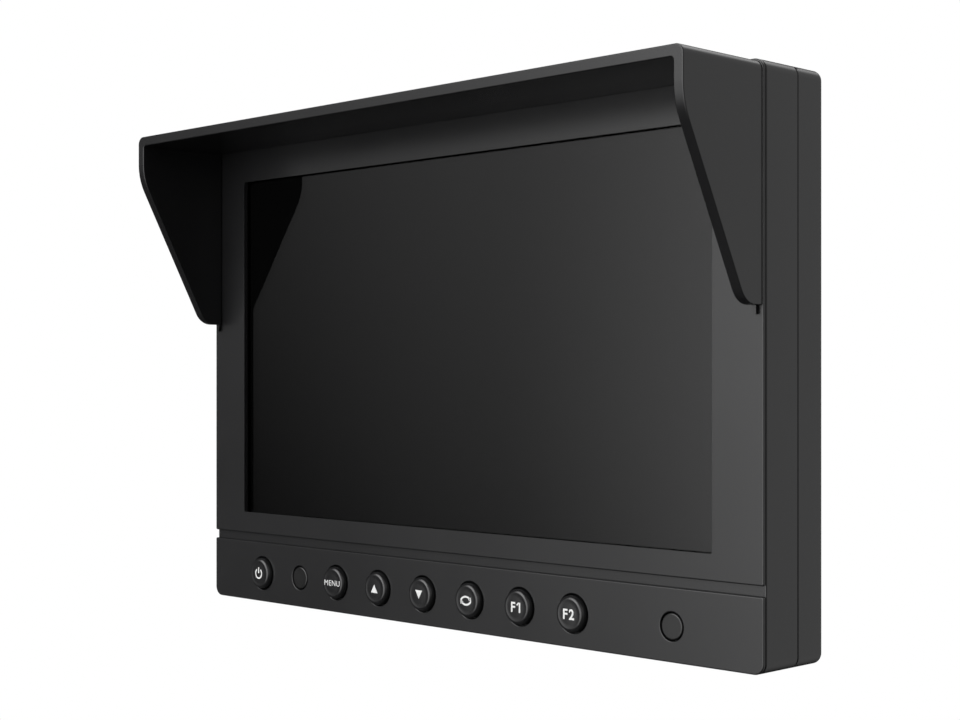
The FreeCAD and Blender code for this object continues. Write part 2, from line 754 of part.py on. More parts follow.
def make_front_case():
    body = make_body("front_case")
    pad_shell(body, "plate_thick", "seam_depth", "inner_front", "seam_depth")
    front = outer_rim("plate_thick", *BODY)
    add_dress(body, "Fillet", find_edges(body, front), "front_round")
    seam = outer_rim("seam_depth", *BODY)
    add_dress(body, "Chamfer", find_edges(body, seam), "seam_notch")

    pocket = front_sketch(body, "plate_thick")
    draw_rectangle(pocket, "-half_glass - fit_gap", "half_glass + fit_gap",
                   "glass_base - fit_gap", "glass_top + fit_gap")
    draw_strip_holes(pocket)
    for x, z in BEZEL_PEGS + [(column, "key_height") for column in STRIP_PEGS]:
        draw_circle(pocket, x, z, "peg_radius + peg_clearance")
    add_pocket(body, pocket, "front_wall")
    slots = front_sketch(body, "plate_thick")
    for outline in tab_outlines("tab_clearance"):
        draw_rectangle(slots, *outline)
    add_pocket(body, slots, "tab_length + tab_clearance - plate_thick")

    bosses = front_sketch(body, "inner_front")
    for x, z in CASE_SCREWS:
        draw_circle(bosses, x, z, "boss_radius")
    add_pad(body, bosses, "seam_depth - (inner_front)")
    posts = front_sketch(body, "inner_front")
    for x, z in BRACKET_POSTS:
        draw_circle(posts, x, z, "bracket_post_radius")
    add_pad(body, posts, "bracket_front - (inner_front)")
    key_posts = front_sketch(body, "inner_front")
    for x in KEY_POSTS:
        draw_circle(key_posts, x, "key_post_height", "key_post_radius")
    add_pad(body, key_posts, "key_post_length")
    add_panel_ribs(body)
    cut_front_threads(body)
    return finish(body, "front_case")


def add_panel_ribs(body):
    """Two ribs above and two below the display panel, which keep it in its place."""
    ribs = front_sketch(body, "inner_front")
    for side in ("-", ""):
        ends = sorted([side + "rib_start", side + "(rib_start + rib_length)"], key=value)
        draw_rectangle(ribs, ends[0], ends[1], "rib_low", "rib_low + rib_thick")
        draw_rectangle(ribs, ends[0], ends[1], "panel_top + fit_gap",
                       "panel_top + fit_gap + rib_thick")
    add_pad(body, ribs, "panel_rear - (inner_front)")


def cut_front_threads(body):
    case_threads = front_sketch(body, "seam_depth - case_screw_reach")
    for x, z in CASE_SCREWS:
        draw_circle(case_threads, x, z, "case_screw_radius + screw_clearance")
    add_pocket(body, case_threads, "case_screw_reach")
    bracket_threads = front_sketch(body, "bracket_rear - small_screw_length - fit_gap")
    for x, z in BRACKET_POSTS:
        draw_circle(bracket_threads, x, z, "small_screw_radius + screw_clearance")
    add_pocket(body, bracket_threads, "small_screw_length")
    key_threads = front_sketch(body, "key_board_rear - small_screw_length - fit_gap")
    for x in KEY_POSTS:
        draw_circle(key_threads, x, "key_post_height", "small_screw_radius + screw_clearance")
    add_pocket(body, key_threads, "small_screw_length")


def make_rear_case():
    body = make_body("rear_case")
    pad_shell(body, "seam_depth", "body_depth", "seam_depth", "inner_rear")
    rear = outer_rim("body_depth", *BODY)
    add_dress(body, "Fillet", find_edges(body, rear), "rear_round")
    seam = outer_rim("seam_depth", *BODY)
    add_dress(body, "Chamfer", find_edges(body, seam), "seam_notch")

    bosses = front_sketch(body, "seam_depth")
    for x, z in CASE_SCREWS:
        draw_circle(bosses, x, z, "boss_radius")
    add_pad(body, bosses, "inner_rear - seam_depth")
    insert_bosses = front_sketch(body, "insert_front - insert_floor")
    for x, z in INSERTS:
        draw_circle(insert_bosses, x, z, "insert_boss_radius")
    add_pad(body, insert_bosses, "inner_rear - (insert_front - insert_floor)")
    ears = front_sketch(body, "speaker_rear")
    for z in SPEAKER_EARS:
        draw_circle(ears, "speaker_column", z, "small_screw_head")
    add_pad(body, ears, "membrane_thick")

    groove = front_sketch(body, "seam_depth")
    draw_ring(groove, "seal_inset - seal_clearance", "seal_inset + seal_width + seal_clearance")
    add_pocket(body, groove, "seal_tall")
    cut_rear_holes(body)
    return finish(body, "rear_case")


def draw_ring(sketch, outer_inset, inner_inset):
    """Two nested rectangles, set in from the body's outline."""
    for inset in (outer_inset, inner_inset):
        draw_rectangle(sketch, "-half_width + " + inset, "half_width - (%s)" % inset,
                       inset, "case_height - (%s)" % inset)


def cut_rear_holes(body):
    passes = front_sketch(body, "seam_depth")
    for x, z in CASE_SCREWS:
        draw_circle(passes, x, z, "case_screw_radius + pass_clearance")
    add_pocket(body, passes, "body_depth - seam_depth")
    seats = front_sketch(body, "case_screw_seat")
    for x, z in CASE_SCREWS:
        draw_circle(seats, x, z, "case_screw_head + pass_clearance")
    add_pocket(body, seats, "case_screw_sunk")
    inserts = front_sketch(body, "insert_front")
    for x, z in INSERTS:
        draw_circle(inserts, x, z, "insert_hole_radius")
    add_pocket(body, inserts, "insert_length")
    opening = front_sketch(body, "inner_rear")
    draw_circle(opening, "middle_line", "inlet_height", "inlet_radius + fit_gap")
    for step in range(-3, 4):
        middle = "speaker_column + %d * slot_pitch" % step
        draw_rectangle(opening, middle + " - slot_width / 2", middle + " + slot_width / 2",
                       "speaker_height - slot_tall / 2", "speaker_height + slot_tall / 2")
    add_pocket(body, opening, "rear_wall")
    threads = front_sketch(body, "ear_front")
    for z in SPEAKER_EARS:
        draw_circle(threads, "speaker_column", z, "small_screw_radius + screw_clearance")
    add_pocket(body, threads, "membrane_thick + ear_thick + rear_wall / 2")


def make_case_seal():
    body = make_body("case_seal")
    sketch = front_sketch(body, "seam_depth")
    draw_ring(sketch, "seal_inset", "seal_inset + seal_width")
    add_pad(body, sketch, "seal_tall")
    finish(body, "case_seal")


def make_case_screws():
    screws = [screw(x, z, "case_screw_seat", "case_screw_radius",
                    "case_screw_seat - seam_depth + case_screw_reach - fit_gap",
                    "case_screw_head", "case_screw_head_tall") for x, z in CASE_SCREWS]
    group("case_screws", screws)


def make_mount_inserts():
    inserts = [cut(rod(x, z, "insert_front", "insert_radius", "insert_length"),
                   rod(x, z, "insert_front", "insert_bore", "insert_length"))
               for x, z in INSERTS]
    group("mount_inserts", inserts)


# Screen

def make_slab(label, outline, depth, thick, corner=None):
    """A flat plate with four corners, from a depth backwards."""
    body = make_body(label)
    sketch = front_sketch(body, depth)
    draw_rectangle(sketch, *outline)
    add_pad(body, sketch, thick)
    if corner:
        round_corners(body, corners_of(*outline), corner)
    return finish(body, label)


def make_glass():
    outline = ("-half_glass", "half_glass", "glass_base", "glass_top")
    make_slab("cover_glass", outline, "glass_front", "glass_thick", "glass_round")
    body = make_body("glass_gasket")
    sketch = front_sketch(body, "plate_thick")
    draw_rectangle(sketch, *outline)
    draw_rectangle(sketch, "-half_window - gasket_inset", "half_window + gasket_inset",
                   "window_base - gasket_inset", "window_top + gasket_inset")
    add_pad(body, sketch, "gasket_thick")
    finish(body, "glass_gasket")


def make_panel():
    """The display panel: a tray with the lit guide and the liquid crystal cell in it."""
    tray = make_body("panel_tray")
    sketch = front_sketch(tray, "panel_front")
    draw_rectangle(sketch, "-half_panel", "half_panel", "panel_base", "panel_top")
    add_pad(tray, sketch, "panel_thick")
    hollow = front_sketch(tray, "panel_front")
    draw_rectangle(hollow, "-half_panel + tray_wall", "half_panel - tray_wall",
                   "panel_base + tray_wall", "panel_top - tray_wall")
    add_pocket(tray, hollow, "panel_thick - tray_floor")
    finish(tray, "panel_tray")
    cell = ("-half_cell", "half_cell", "window_base - cell_lap", "window_top + cell_lap")
    make_slab("lcd_cell", cell, "cell_front", "cell_thick")
    guide = ("-half_guide", "half_guide", "guide_base", "window_top + guide_lap")
    make_slab("light_guide", guide, "guide_front", "guide_thick")
    lamps = ("-half_led_strip", "half_led_strip", "guide_base - layer_gap - led_strip_tall",
             "guide_base - layer_gap")
    make_slab("led_strip", lamps, "guide_front", "guide_thick")


def make_panel_bracket():
    body = make_body("panel_bracket")
    sketch = front_sketch(body, "bracket_front")
    draw_rectangle(sketch, "-half_bracket", "half_bracket", "bracket_base",
                   "panel_top - bracket_margin")
    add_pad(body, sketch, "bracket_thick")
    for row in ("bracket_low", "bracket_high"):
        arms = front_sketch(body, "bracket_front")
        reach = "(bracket_post_column + bracket_post_radius)"
        draw_rectangle(arms, "-" + reach, reach, row + " - bracket_arm / 2",
                       row + " + bracket_arm / 2")
        add_pad(body, arms, "bracket_thick")
    holes = front_sketch(body, "bracket_front")
    for x, z in BRACKET_POSTS:
        draw_circle(holes, x, z, "small_screw_radius + pass_clearance")
    add_pocket(body, holes, "bracket_thick")
    finish(body, "panel_bracket")
    group("bracket_screws", [small_screw(x, z, "bracket_rear") for x, z in BRACKET_POSTS])


# Main board

def make_main_board():
    body = make_body("main_board")
    sketch = front_sketch(body, "board_front")
    draw_rectangle(sketch, "-half_board", "half_board", "board_base", "board_top")
    add_pad(body, sketch, "board_thick")
    holes = front_sketch(body, "board_front")
    for x, z in STANDOFFS:
        draw_circle(holes, x, z, "small_screw_radius + pass_clearance")
    add_pocket(body, holes, "board_thick")
    finish(body, "main_board")
    standoffs = [cut(rod(x, z, "bracket_rear", "standoff_radius", "standoff_length"),
                     rod(x, z, "bracket_rear", "small_screw_radius + screw_clearance",
                         "standoff_length")) for x, z in STANDOFFS]
    group("board_standoffs", standoffs)
    screws = [screw(x, z, "board_rear", "small_screw_radius", "board_thick + standoff_length / 2",
                    "small_screw_head", "small_screw_head_tall") for x, z in STANDOFFS]
    group("board_screws", screws)


def make_board_parts():
    chip = block("middle_line", "board_middle", "board_rear", "chip_side", "chip_side",
                 "chip_thick")
    group("video_chip", [chip])
    shield = block("-standoff_column + shield_gap + shield_width / 2",
                   "board_middle + chip_side / 2 + fit_gap + shield_tall / 2", "board_rear",
                   "shield_width", "shield_tall", "shield_thick")
    group("shield_can", [shield])
    coils = [block("standoff_column - coil_side - %d * coil_pitch" % step, "coil_row",
                   "board_rear", "coil_side", "coil_side", "coil_thick") for step in (0, 1)]
    group("power_coils", coils)
    capacitors = [rod("half_board / 2 + %d * capacitor_pitch" % step,
                      "board_middle + chip_side", "board_rear", "capacitor_radius",
                      "capacitor_thick") for step in (0, 1, 2)]
    group("board_capacitors", capacitors)


def make_ribbons():
    """Sockets on the two boards and the flat ribbons between them."""
    sockets = [block(x, "socket_height + socket_tall / 2", "socket_front", width, "socket_tall",
                     "socket_thick")
               for x, width in (("lcd_ribbon_column", "lcd_ribbon_width + ribbon_margin"),
                                ("key_ribbon_column", "key_ribbon_width + ribbon_margin"))]
    sockets.append(block("key_ribbon_column", "key_height", "key_board_rear",
                         "key_ribbon_width + ribbon_margin", "socket_tall",
                         "board_front - fit_gap - (key_board_rear)"))
    sockets.append(block("-half_board + terminal_width / 2 + layer_gap", "terminal_height",
                         "board_rear", "terminal_width", "terminal_tall", "terminal_thick"))
    group("ribbon_sockets", sockets)

    ribbon = make_body("lcd_ribbon")
    sketch = side_sketch(ribbon, "lcd_ribbon_column - lcd_ribbon_width / 2")
    start = "panel_rear - tray_floor"
    bend = "socket_front + socket_thick / 3"
    low = "panel_base - ribbon_drop"
    draw_outline(sketch, [(start, "panel_base"), (start, low), (bend, low),
                          (bend, "socket_height"), (bend + " - ribbon_thick", "socket_height"),
                          (bend + " - ribbon_thick", low + " + ribbon_thick"),
                          (start + " + ribbon_thick", low + " + ribbon_thick"),
                          (start + " + ribbon_thick", "panel_base")])
    add_pad(ribbon, sketch, "lcd_ribbon_width", towards_front=True)
    finish(ribbon, "lcd_ribbon")
    straight = block("key_ribbon_column", "(socket_height + key_height + socket_tall / 2) / 2",
                     bend, "key_ribbon_width", "socket_height - key_height - socket_tall / 2",
                     "ribbon_thick")
    group("key_ribbon", [straight])


# Keys

def make_key(name, column):
    """A key cap with its flange and stem, and the switch plunger that it presses."""
    body = make_body(name)
    sketch = make_sketch(body, "XY_Plane", bound("bottom_plane"))
    draw_outline(sketch, [("middle_line", "-key_proud"), ("key_radius", "-key_proud"),
                          ("key_radius", "flange_front"), ("flange_radius", "flange_front"),
                          ("flange_radius", "flange_rear"), ("stem_radius", "flange_rear"),
                          ("stem_radius", "stem_end"), ("middle_line", "stem_end")])
    turned = body.newObject("PartDesign::Revolution", "Revolution")
    turned.Profile = sketch
    turned.ReferenceAxis = (sketch, ["V_Axis"])
    turned.Angle = 360
    doc.recompute()
    flats = front_sketch(body, "flange_front")
    for low, high in (("-flange_radius", "-flange_flat"), ("flange_flat", "flange_radius")):
        draw_rectangle(flats, "-flange_radius", "flange_radius", low, high)
    add_pocket(body, flats, "flange_thick")
    front = -value("key_proud")

    def on_front(edge):
        return near(edge.BoundBox.YMin, front) and near(edge.BoundBox.YMax, front)
    add_dress(body, "Fillet", find_edges(body, on_front), "key_round")
    finish(body, name)
    body.setExpression("Placement.Base.x", bound(column))
    body.setExpression("Placement.Base.z", bound("key_height - mount_height"))
    plunger = rod(column, "key_height", "stem_end", "plunger_radius", "plunger_end - (stem_end)")
    group(name.replace("_key", "_plunger"), [plunger])


def make_key_board():
    body = make_body("key_board")
    sketch = front_sketch(body, "key_board_front")
    draw_rectangle(sketch, "-half_key_board", "half_key_board", "key_board_base",
                   "key_board_base + key_board_tall")
    add_pad(body, sketch, "key_board_thick")
    holes = front_sketch(body, "key_board_front")
    for x in KEY_POSTS:
        draw_circle(holes, x, "key_post_height", "small_screw_radius + pass_clearance")
    add_pocket(body, holes, "key_board_thick")
    finish(body, "key_board")
    group("key_board_screws", [small_screw(x, "key_post_height", "key_board_rear")
                               for x in KEY_POSTS])
    housings = [cut(block(x, "key_height", "switch_front", "switch_side", "switch_side",
                          "switch_tall"),
                    rod(x, "key_height", "switch_front", "plunger_radius + plunger_clearance",
                        "switch_bore_depth")) for x in KEYS.values()]
    group("key_switches", housings)
    for name, column in KEYS.items():
        make_key(name, column)


def make_eye(label, column, end):
    """A round tinted window whose flange bears on the inside of the front wall."""
    lens = rod(column, "key_height", "eye_sunk", "eye_radius", "%s - eye_sunk" % end)
    flange = rod(column, "key_height", "inner_front", "eye_flange_radius", "eye_flange_thick")
    group(label, [fuse([lens, flange])])


def make_eyes():
    receiver_front = "key_board_front - receiver_thick"
    dome_front = receiver_front + " - receiver_dome_tall"
    make_eye("receiver_window", "eye_column", "inner_front + eye_flange_thick")
    housing = block("eye_column", "key_height", receiver_front, "receiver_side",
                    "receiver_side", "receiver_thick")
    dome = rod("eye_column", "key_height", dome_front, "receiver_dome", "receiver_dome_tall")
    group("infrared_receiver", [fuse([housing, dome])])
    make_eye("sensor_window", "sensor_column", "key_board_front - sensor_thick - fit_gap")
    sensor = block("sensor_column", "key_height", "key_board_front - sensor_thick",
                   "sensor_side", "sensor_side", "sensor_thick")
    group("light_sensor", [sensor])


# Speaker

def make_speaker():
    frame = block("speaker_column", "speaker_height", "speaker_front", "speaker_width",
                  "speaker_tall", "speaker_thick")
    inside = block("speaker_column", "speaker_height", "speaker_front + speaker_wall",
                   "speaker_width - 2 * speaker_wall", "speaker_tall - 2 * speaker_wall",
                   "speaker_thick")
    ears = [block("speaker_column", z, "ear_front", "2 * speaker_ear", "speaker_ear",
                  "ear_thick") for z in SPEAKER_EARS]
    holes = [rod("speaker_column", z, "ear_front", "small_screw_radius + pass_clearance",
                 "ear_thick") for z in SPEAKER_EARS]
    shell = cut(cut(fuse([frame] + ears), inside), fuse(holes))
    group("speaker_frame", [shell])
    cone = block("speaker_column", "speaker_height", "speaker_rear - speaker_wall",
                 "speaker_width - 2 * speaker_wall - 2 * cone_margin",
                 "speaker_tall - 2 * speaker_wall - 2 * cone_margin", "cone_thick")
    coil = rod("speaker_column", "speaker_height", "speaker_front + speaker_wall",
               "magnet_radius / 2", "speaker_thick - 2 * speaker_wall")
    group("speaker_cone", [fuse([cone, coil])])
    magnet = rod("speaker_column", "speaker_height", "speaker_front - magnet_thick",
                 "magnet_radius", "magnet_thick")
    group("speaker_magnet", [magnet])
    membrane = block("speaker_column", "speaker_height", "speaker_rear", "speaker_width",
                     "speaker_tall", "membrane_thick")
    group("speaker_membrane", [membrane])
    screws = []
    for z in SPEAKER_EARS:
        shank = rod("speaker_column", z, "ear_front", "small_screw_radius",
                    "ear_thick + membrane_thick + rear_wall / 3")
        head = rod("speaker_column", z, "ear_front - small_screw_head_tall",
                   "small_screw_head", "small_screw_head_tall")
        screws.append(fuse([shank, head]))
    group("speaker_screws", screws)


def make_speaker_lead():
    """A straight lead from the speaker frame's side to its socket on the main board."""
    lead = doc.addObject("Part::Cylinder", "Lead")
    lead.Placement = Placement(Vector(), Rotation(Vector(0, 1, 0), 90))
    lead.setExpression("Radius", bound("lead_radius"))
    start = "speaker_column + half_speaker"
    end = "-half_board + layer_gap"
    lead.setExpression("Height", bound("%s - (%s)" % (end, start)))
    place(lead, start, "board_rear + terminal_thick / 2", "terminal_height")
    group("speaker_lead", [lead])


# Cable inlet

def make_inlet():
    middle = "middle_line"

    def disc(depth, radius, length):
        return rod(middle, "inlet_height", depth, radius, length)

    def ring(depth, radius, bore, length):
        return cut(disc(depth, radius, length), disc(depth, bore, length))
    tube = disc("board_rear", "inlet_radius", "inlet_end - (board_rear)")
    flange = disc("inlet_flange_rear - inlet_flange_thick", "inlet_flange_radius",
                  "inlet_flange_thick")
    bores = fuse([disc("board_rear", "inlet_insert_radius + screw_clearance",
                       "inlet_end - (board_rear)"),
                  disc("inlet_floor", "inlet_bore", "inlet_depth")])
    group("inlet_shell", [cut(fuse([tube, flange]), bores)])
    group("inlet_seal", [ring("inlet_flange_rear", "inlet_flange_radius",
                              "inlet_radius + fit_gap", "inlet_seal_thick")])
    holes = []
    contacts = []
    for step in range(9):
        turn = Placement(Vector(), Rotation(Vector(0, 0, 1), 45 * step))
        reach = turn.multVec(Vector(1, 0, 0)) if step < 8 else Vector()
        x = "%.6f * contact_ring" % reach.x
        z = "inlet_height + %.6f * contact_ring" % reach.y
        outer = "contact_radius + contact_wall"
        length = "inlet_floor - (board_rear)"
        holes.append(rod(x, z, "board_rear", outer + " + screw_clearance", length))
        contacts.append(cut(rod(x, z, "board_rear", outer, length),
                            rod(x, z, "board_rear + fit_gap", "contact_radius", length)))
    insert = cut(disc("board_rear", "inlet_insert_radius", "inlet_floor - (board_rear)"),
                 fuse(holes))
    group("inlet_insert", [insert])
    group("inlet_contacts", contacts)


# Sun visor

def make_visor():
    """A hood with a top plate and two slanted wings, open at the front, below and behind."""
    body = make_body("sun_visor")
    front = "-visor_reach"
    hood = ("-visor_half", "visor_half", "wing_base", "visor_top")
    sketch = front_sketch(body, front)
    draw_rectangle(sketch, *hood)
    add_pad(body, sketch, "visor_reach - visor_gap")
    round_corners(body, [("-visor_half", "visor_top"), ("visor_half", "visor_top")],
                  "visor_round")
    inside = ("-visor_half + visor_wall", "visor_half - visor_wall", "wing_base - visor_wall",
              "visor_top - visor_wall")
    hollow = front_sketch(body, front)
    draw_rectangle(hollow, *inside)
    add_pocket(body, hollow, "visor_reach - visor_gap")
    round_corners(body, [(inside[0], inside[3]), (inside[1], inside[3])], "visor_inner_round")

    slant = side_sketch(body, "-half_width")
    draw_outline(slant, [("-wing_toe", "wing_base"), (front, "wing_knee"),
                         (front + " - visor_wall", "wing_knee"),
                         (front + " - visor_wall", "wing_base - visor_wall"),
                         ("-wing_toe", "wing_base - visor_wall")])
    add_pocket(body, slant, "case_width", reverse=True)
    round_corners(body, [("-wing_toe", "wing_base")], "wing_toe_round", axis=0)
    round_corners(body, [(front, "wing_knee")], "wing_knee_round", axis=0)
    round_visor_rim(body)

    feet = front_sketch(body, "-visor_gap - foot_thick")
    for side in ("-", ""):
        outer = side + "(visor_half - foot_inset)"
        inner = side + "(visor_half - visor_wall + foot_ledge)"
        inner_low = side + "(visor_half - visor_wall + foot_ledge + foot_slant)"
        draw_outline(feet, [(outer, "wing_base + foot_slant"),
                            (outer, "wing_base - foot_tall"),
                            (inner_low, "wing_base - foot_tall"), (inner, "wing_base"),
                            (inner, "wing_base + foot_slant")])
    add_pad(body, feet, "foot_thick")
    tabs = front_sketch(body, "-visor_gap - visor_wall")
    for outline in tab_outlines("front_plane"):
        draw_rectangle(tabs, *outline)
    add_pad(body, tabs, "tab_length + visor_gap + visor_wall")
    return finish(body, "sun_visor")


def round_visor_rim(body):
    """Round the edges along the hood's front rim and the wings' slanted rims."""
    rear = -value("visor_gap")
    middles = []
    for face in body.Tip.Shape.Faces:
        halfway = [sum(face.ParameterRange[pair:pair + 2]) / 2 for pair in (0, 2)]
        normal = face.normalAt(*halfway)
        if face.BoundBox.YMin < rear - TOUCH and near(normal.x, 0) and normal.y < -TOUCH:
            middles += [edge.CenterOfMass for edge in face.Edges if not crosses_wall(edge)]

    def test(edge):
        return any(edge.CenterOfMass.distanceToPoint(middle) < TOUCH for middle in middles)
    add_dress(body, "Fillet", find_edges(body, test), "visor_rim")


def crosses_wall(edge):
    """Whether an edge is a short one across a wing's thickness."""
    return runs_along(edge, 0) and edge.Length < value("visor_wall") + TOUCH


make_bezel_frame()
make_button_panel()
make_front_case()
make_rear_case()
make_case_seal()
make_case_screws()
make_mount_inserts()
make_glass()
make_panel()
make_panel_bracket()
make_main_board()
make_board_parts()
make_ribbons()
make_key_board()
make_eyes()
make_speaker()
make_speaker_lead()
make_inlet()
make_visor()


def check_and_write():
    """Stop on a failed object, then write each piece to a file of its own."""
    doc.recompute()
    for item in doc.Objects:
        if "Invalid" in item.State or "Error" in item.State:
            raise ValueError(item.Name + " failed: " + str(item.State))
    os.makedirs("parts", exist_ok=True)
    for piece in pieces:
        shape = piece.Shape
        if shape.isNull() or not shape.isValid():
            raise ValueError(piece.Label + " has no valid shape")
        shape.exportStep("parts/" + piece.Label + ".step")
        print("%-18s %2d solids %9.1f mm3" % (piece.Label, len(shape.Solids), shape.Volume))


check_and_write()
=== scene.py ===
import math

import bpy
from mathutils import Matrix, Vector


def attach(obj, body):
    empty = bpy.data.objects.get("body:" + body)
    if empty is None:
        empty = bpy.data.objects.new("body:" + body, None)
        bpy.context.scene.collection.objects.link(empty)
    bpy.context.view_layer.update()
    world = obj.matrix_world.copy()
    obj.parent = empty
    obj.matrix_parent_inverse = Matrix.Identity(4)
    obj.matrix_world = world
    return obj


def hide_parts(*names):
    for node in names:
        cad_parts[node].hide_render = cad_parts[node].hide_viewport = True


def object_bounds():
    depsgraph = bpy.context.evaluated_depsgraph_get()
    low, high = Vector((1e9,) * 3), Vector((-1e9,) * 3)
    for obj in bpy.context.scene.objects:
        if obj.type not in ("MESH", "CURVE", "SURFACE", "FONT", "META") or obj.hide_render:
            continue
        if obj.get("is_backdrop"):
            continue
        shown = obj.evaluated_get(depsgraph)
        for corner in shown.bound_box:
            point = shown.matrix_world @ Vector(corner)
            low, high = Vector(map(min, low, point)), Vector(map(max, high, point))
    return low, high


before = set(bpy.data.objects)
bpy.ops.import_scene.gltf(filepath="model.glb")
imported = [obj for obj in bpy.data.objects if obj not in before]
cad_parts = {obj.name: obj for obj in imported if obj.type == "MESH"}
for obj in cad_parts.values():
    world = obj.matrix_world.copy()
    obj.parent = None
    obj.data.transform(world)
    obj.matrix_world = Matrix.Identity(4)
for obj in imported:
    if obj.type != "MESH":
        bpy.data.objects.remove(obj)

bl_info = {
    "name": "Vehicle monitor",
    "version": (1, 0, 0),
    "blender": (4, 5, 0),
    "location": "3D View > Sidebar > Monitor",
    "description": "Plastics, screen, printed keys, screws and studio of a vehicle monitor with a sun visor",
    "category": "Object",
}

MM = 0.001
KEYS = {
    "power": ("power_button", -70.0),
    "menu": ("menu_button", -40.0),
    "up": ("up_button", -24.0),
    "down": ("down_button", -8.0),
    "source": ("source_button", 8.0),
    "first": ("first_button", 24.0),
    "second": ("second_button", 40.0),
}
WINDOWS = {"receiver_window": (-54.5, 17.1), "sensor_window": (67.5, 13.1)}
KEY_ROW = -53.5
CAP_FACE = -22.15


# Sizes and colours that a user would change


class MonitorPlastics(bpy.types.PropertyGroup):
    case_colour: bpy.props.FloatVectorProperty(
        name="Case colour", description="Base colour of the two case halves",
        subtype="COLOR", size=3, min=0, max=1, default=(0.0105, 0.0105, 0.011))
    plate_colour: bpy.props.FloatVectorProperty(
        name="Plate colour", description="Base colour of the two front plates",
        subtype="COLOR", size=3, min=0, max=1, default=(0.0115, 0.0115, 0.012))
    visor_colour: bpy.props.FloatVectorProperty(
        name="Visor colour", description="Base colour of the sun visor",
        subtype="COLOR", size=3, min=0, max=1, default=(0.0105, 0.0105, 0.011))
    roughness: bpy.props.FloatProperty(
        name="Roughness", description="Roughness of the satin plastic",
        subtype="FACTOR", min=0, max=1, default=0.25)
    grain_size: bpy.props.FloatProperty(
        name="Grain size", description="Pitch of the moulded grain",
        subtype="DISTANCE", unit="LENGTH", min=0.0001, default=0.00035)
    grain_depth: bpy.props.FloatProperty(
        name="Grain depth", description="Depth of the moulded grain",
        subtype="DISTANCE", unit="LENGTH", min=0, default=0.000004)


class MonitorScreen(bpy.types.PropertyGroup):
    glass_tint: bpy.props.FloatVectorProperty(
        name="Glass tint", description="Colour of the cover glass",
        subtype="COLOR", size=3, min=0, max=1, default=(0.12, 0.12, 0.122))
    glass_roughness: bpy.props.FloatProperty(
        name="Glass roughness", description="Roughness of the cover glass",
        subtype="FACTOR", min=0, max=1, default=0.02)
    window_colour: bpy.props.FloatVectorProperty(
        name="Window colour", description="Colour of the two small windows in the key strip",
        subtype="COLOR", size=3, min=0, max=1, default=(0.0105, 0.0105, 0.0105))
    window_edge: bpy.props.FloatProperty(
        name="Window edge", description="Edge radius of the two small windows",
        subtype="DISTANCE", unit="LENGTH", min=0.00005, default=0.0003)
    cell_colour: bpy.props.FloatVectorProperty(
        name="Display colour", description="Colour of the switched-off display",
        subtype="COLOR", size=3, min=0, max=1, default=(0.004, 0.004, 0.0042))


class MonitorKeys(bpy.types.PropertyGroup):
    edge_round: bpy.props.FloatProperty(
        name="Edge radius", description="Radius of a cap's front edge",
        subtype="DISTANCE", unit="LENGTH", min=0.0001, default=0.001)
    crown: bpy.props.FloatProperty(
        name="Crown", description="How far the rim of a cap's face falls away",
        subtype="DISTANCE", unit="LENGTH", min=0, default=0.00005)
    legend_colour: bpy.props.FloatVectorProperty(
        name="Legend colour", description="Colour of the printed legends",
        subtype="COLOR", size=3, min=0, max=1, default=(0.8, 0.8, 0.79))
    legend_height: bpy.props.FloatProperty(
        name="Legend height", description="Height of the letters on the two function keys",
        subtype="DISTANCE", unit="LENGTH", min=0.0005, default=0.0023)
    print_thickness: bpy.props.FloatProperty(
        name="Print thickness", description="How far the print stands on a cap",
        subtype="DISTANCE", unit="LENGTH", min=0.000005, default=0.00002)


class MonitorStudio(bpy.types.PropertyGroup):
    camera_place: bpy.props.FloatVectorProperty(
        name="Camera", description="Place of the camera",
        subtype="TRANSLATION", unit="LENGTH", size=3, default=(0.2893, -0.2988, -0.0019))
    camera_lens: bpy.props.FloatProperty(
        name="Focal length", description="Focal length in millimetres on a 36 mm wide sensor",
        min=10, max=300, default=63.86)
    camera_shift: bpy.props.FloatProperty(
        name="Shift", description="Vertical shift of the picture",
        min=-1, max=1, default=0.01875)
    level_light: bpy.props.FloatProperty(
        name="Level light", description="Brightness of the large soft light level with the screen",
        min=0, default=1.92)
    front_light: bpy.props.FloatProperty(
        name="Front light", description="Brightness of the large soft light a little above it",
        min=0, default=1.07)
    high_light: bpy.props.FloatProperty(
        name="High light", description="Brightness of the soft light high in front on the left",
        min=0, default=3.0)
    side_light: bpy.props.FloatProperty(
        name="Side light", description="Brightness of the wide soft light from behind on the right",
        min=0, default=0.53)
    fill_light: bpy.props.FloatProperty(
        name="Fill light", description="Brightness of the soft light in front on the right",
        min=0, default=0.42)
    top_light: bpy.props.FloatProperty(
        name="Top light", description="Brightness of the soft light above and behind",
        min=0, default=3.2)
    room_light: bpy.props.FloatProperty(
        name="Room light", description="Brightness of everything round the lights",
        min=0, default=0.03)


# Node groups and materials


def add_node(tree, kind, place=(0, 0), inputs=None, **settings):
    """A node of that kind, with its settings and the default values of its sockets."""
    node = tree.nodes.new(kind)
    node.location = place
    for name, value in settings.items():
        setattr(node, name, value)
    for socket, value in (inputs or {}).items():
        if isinstance(value, bpy.types.NodeSocket):
            tree.links.new(value, node.inputs[socket])
        else:
            node.inputs[socket].default_value = value
    return node


def start_group(name, inputs, outputs):
    """An empty shader group with those sockets, its input node and its output node."""
    tree = bpy.data.node_groups.new(name, "ShaderNodeTree")
    for label, kind, value in inputs:
        socket = tree.interface.new_socket(label, in_out="INPUT", socket_type=kind)
        socket.default_value = value
    for label, kind in outputs:
        tree.interface.new_socket(label, in_out="OUTPUT", socket_type=kind)
    entry = add_node(tree, "NodeGroupInput", (-900, 0))
    leave = add_node(tree, "NodeGroupOutput", (700, 0))
    return tree, entry, leave


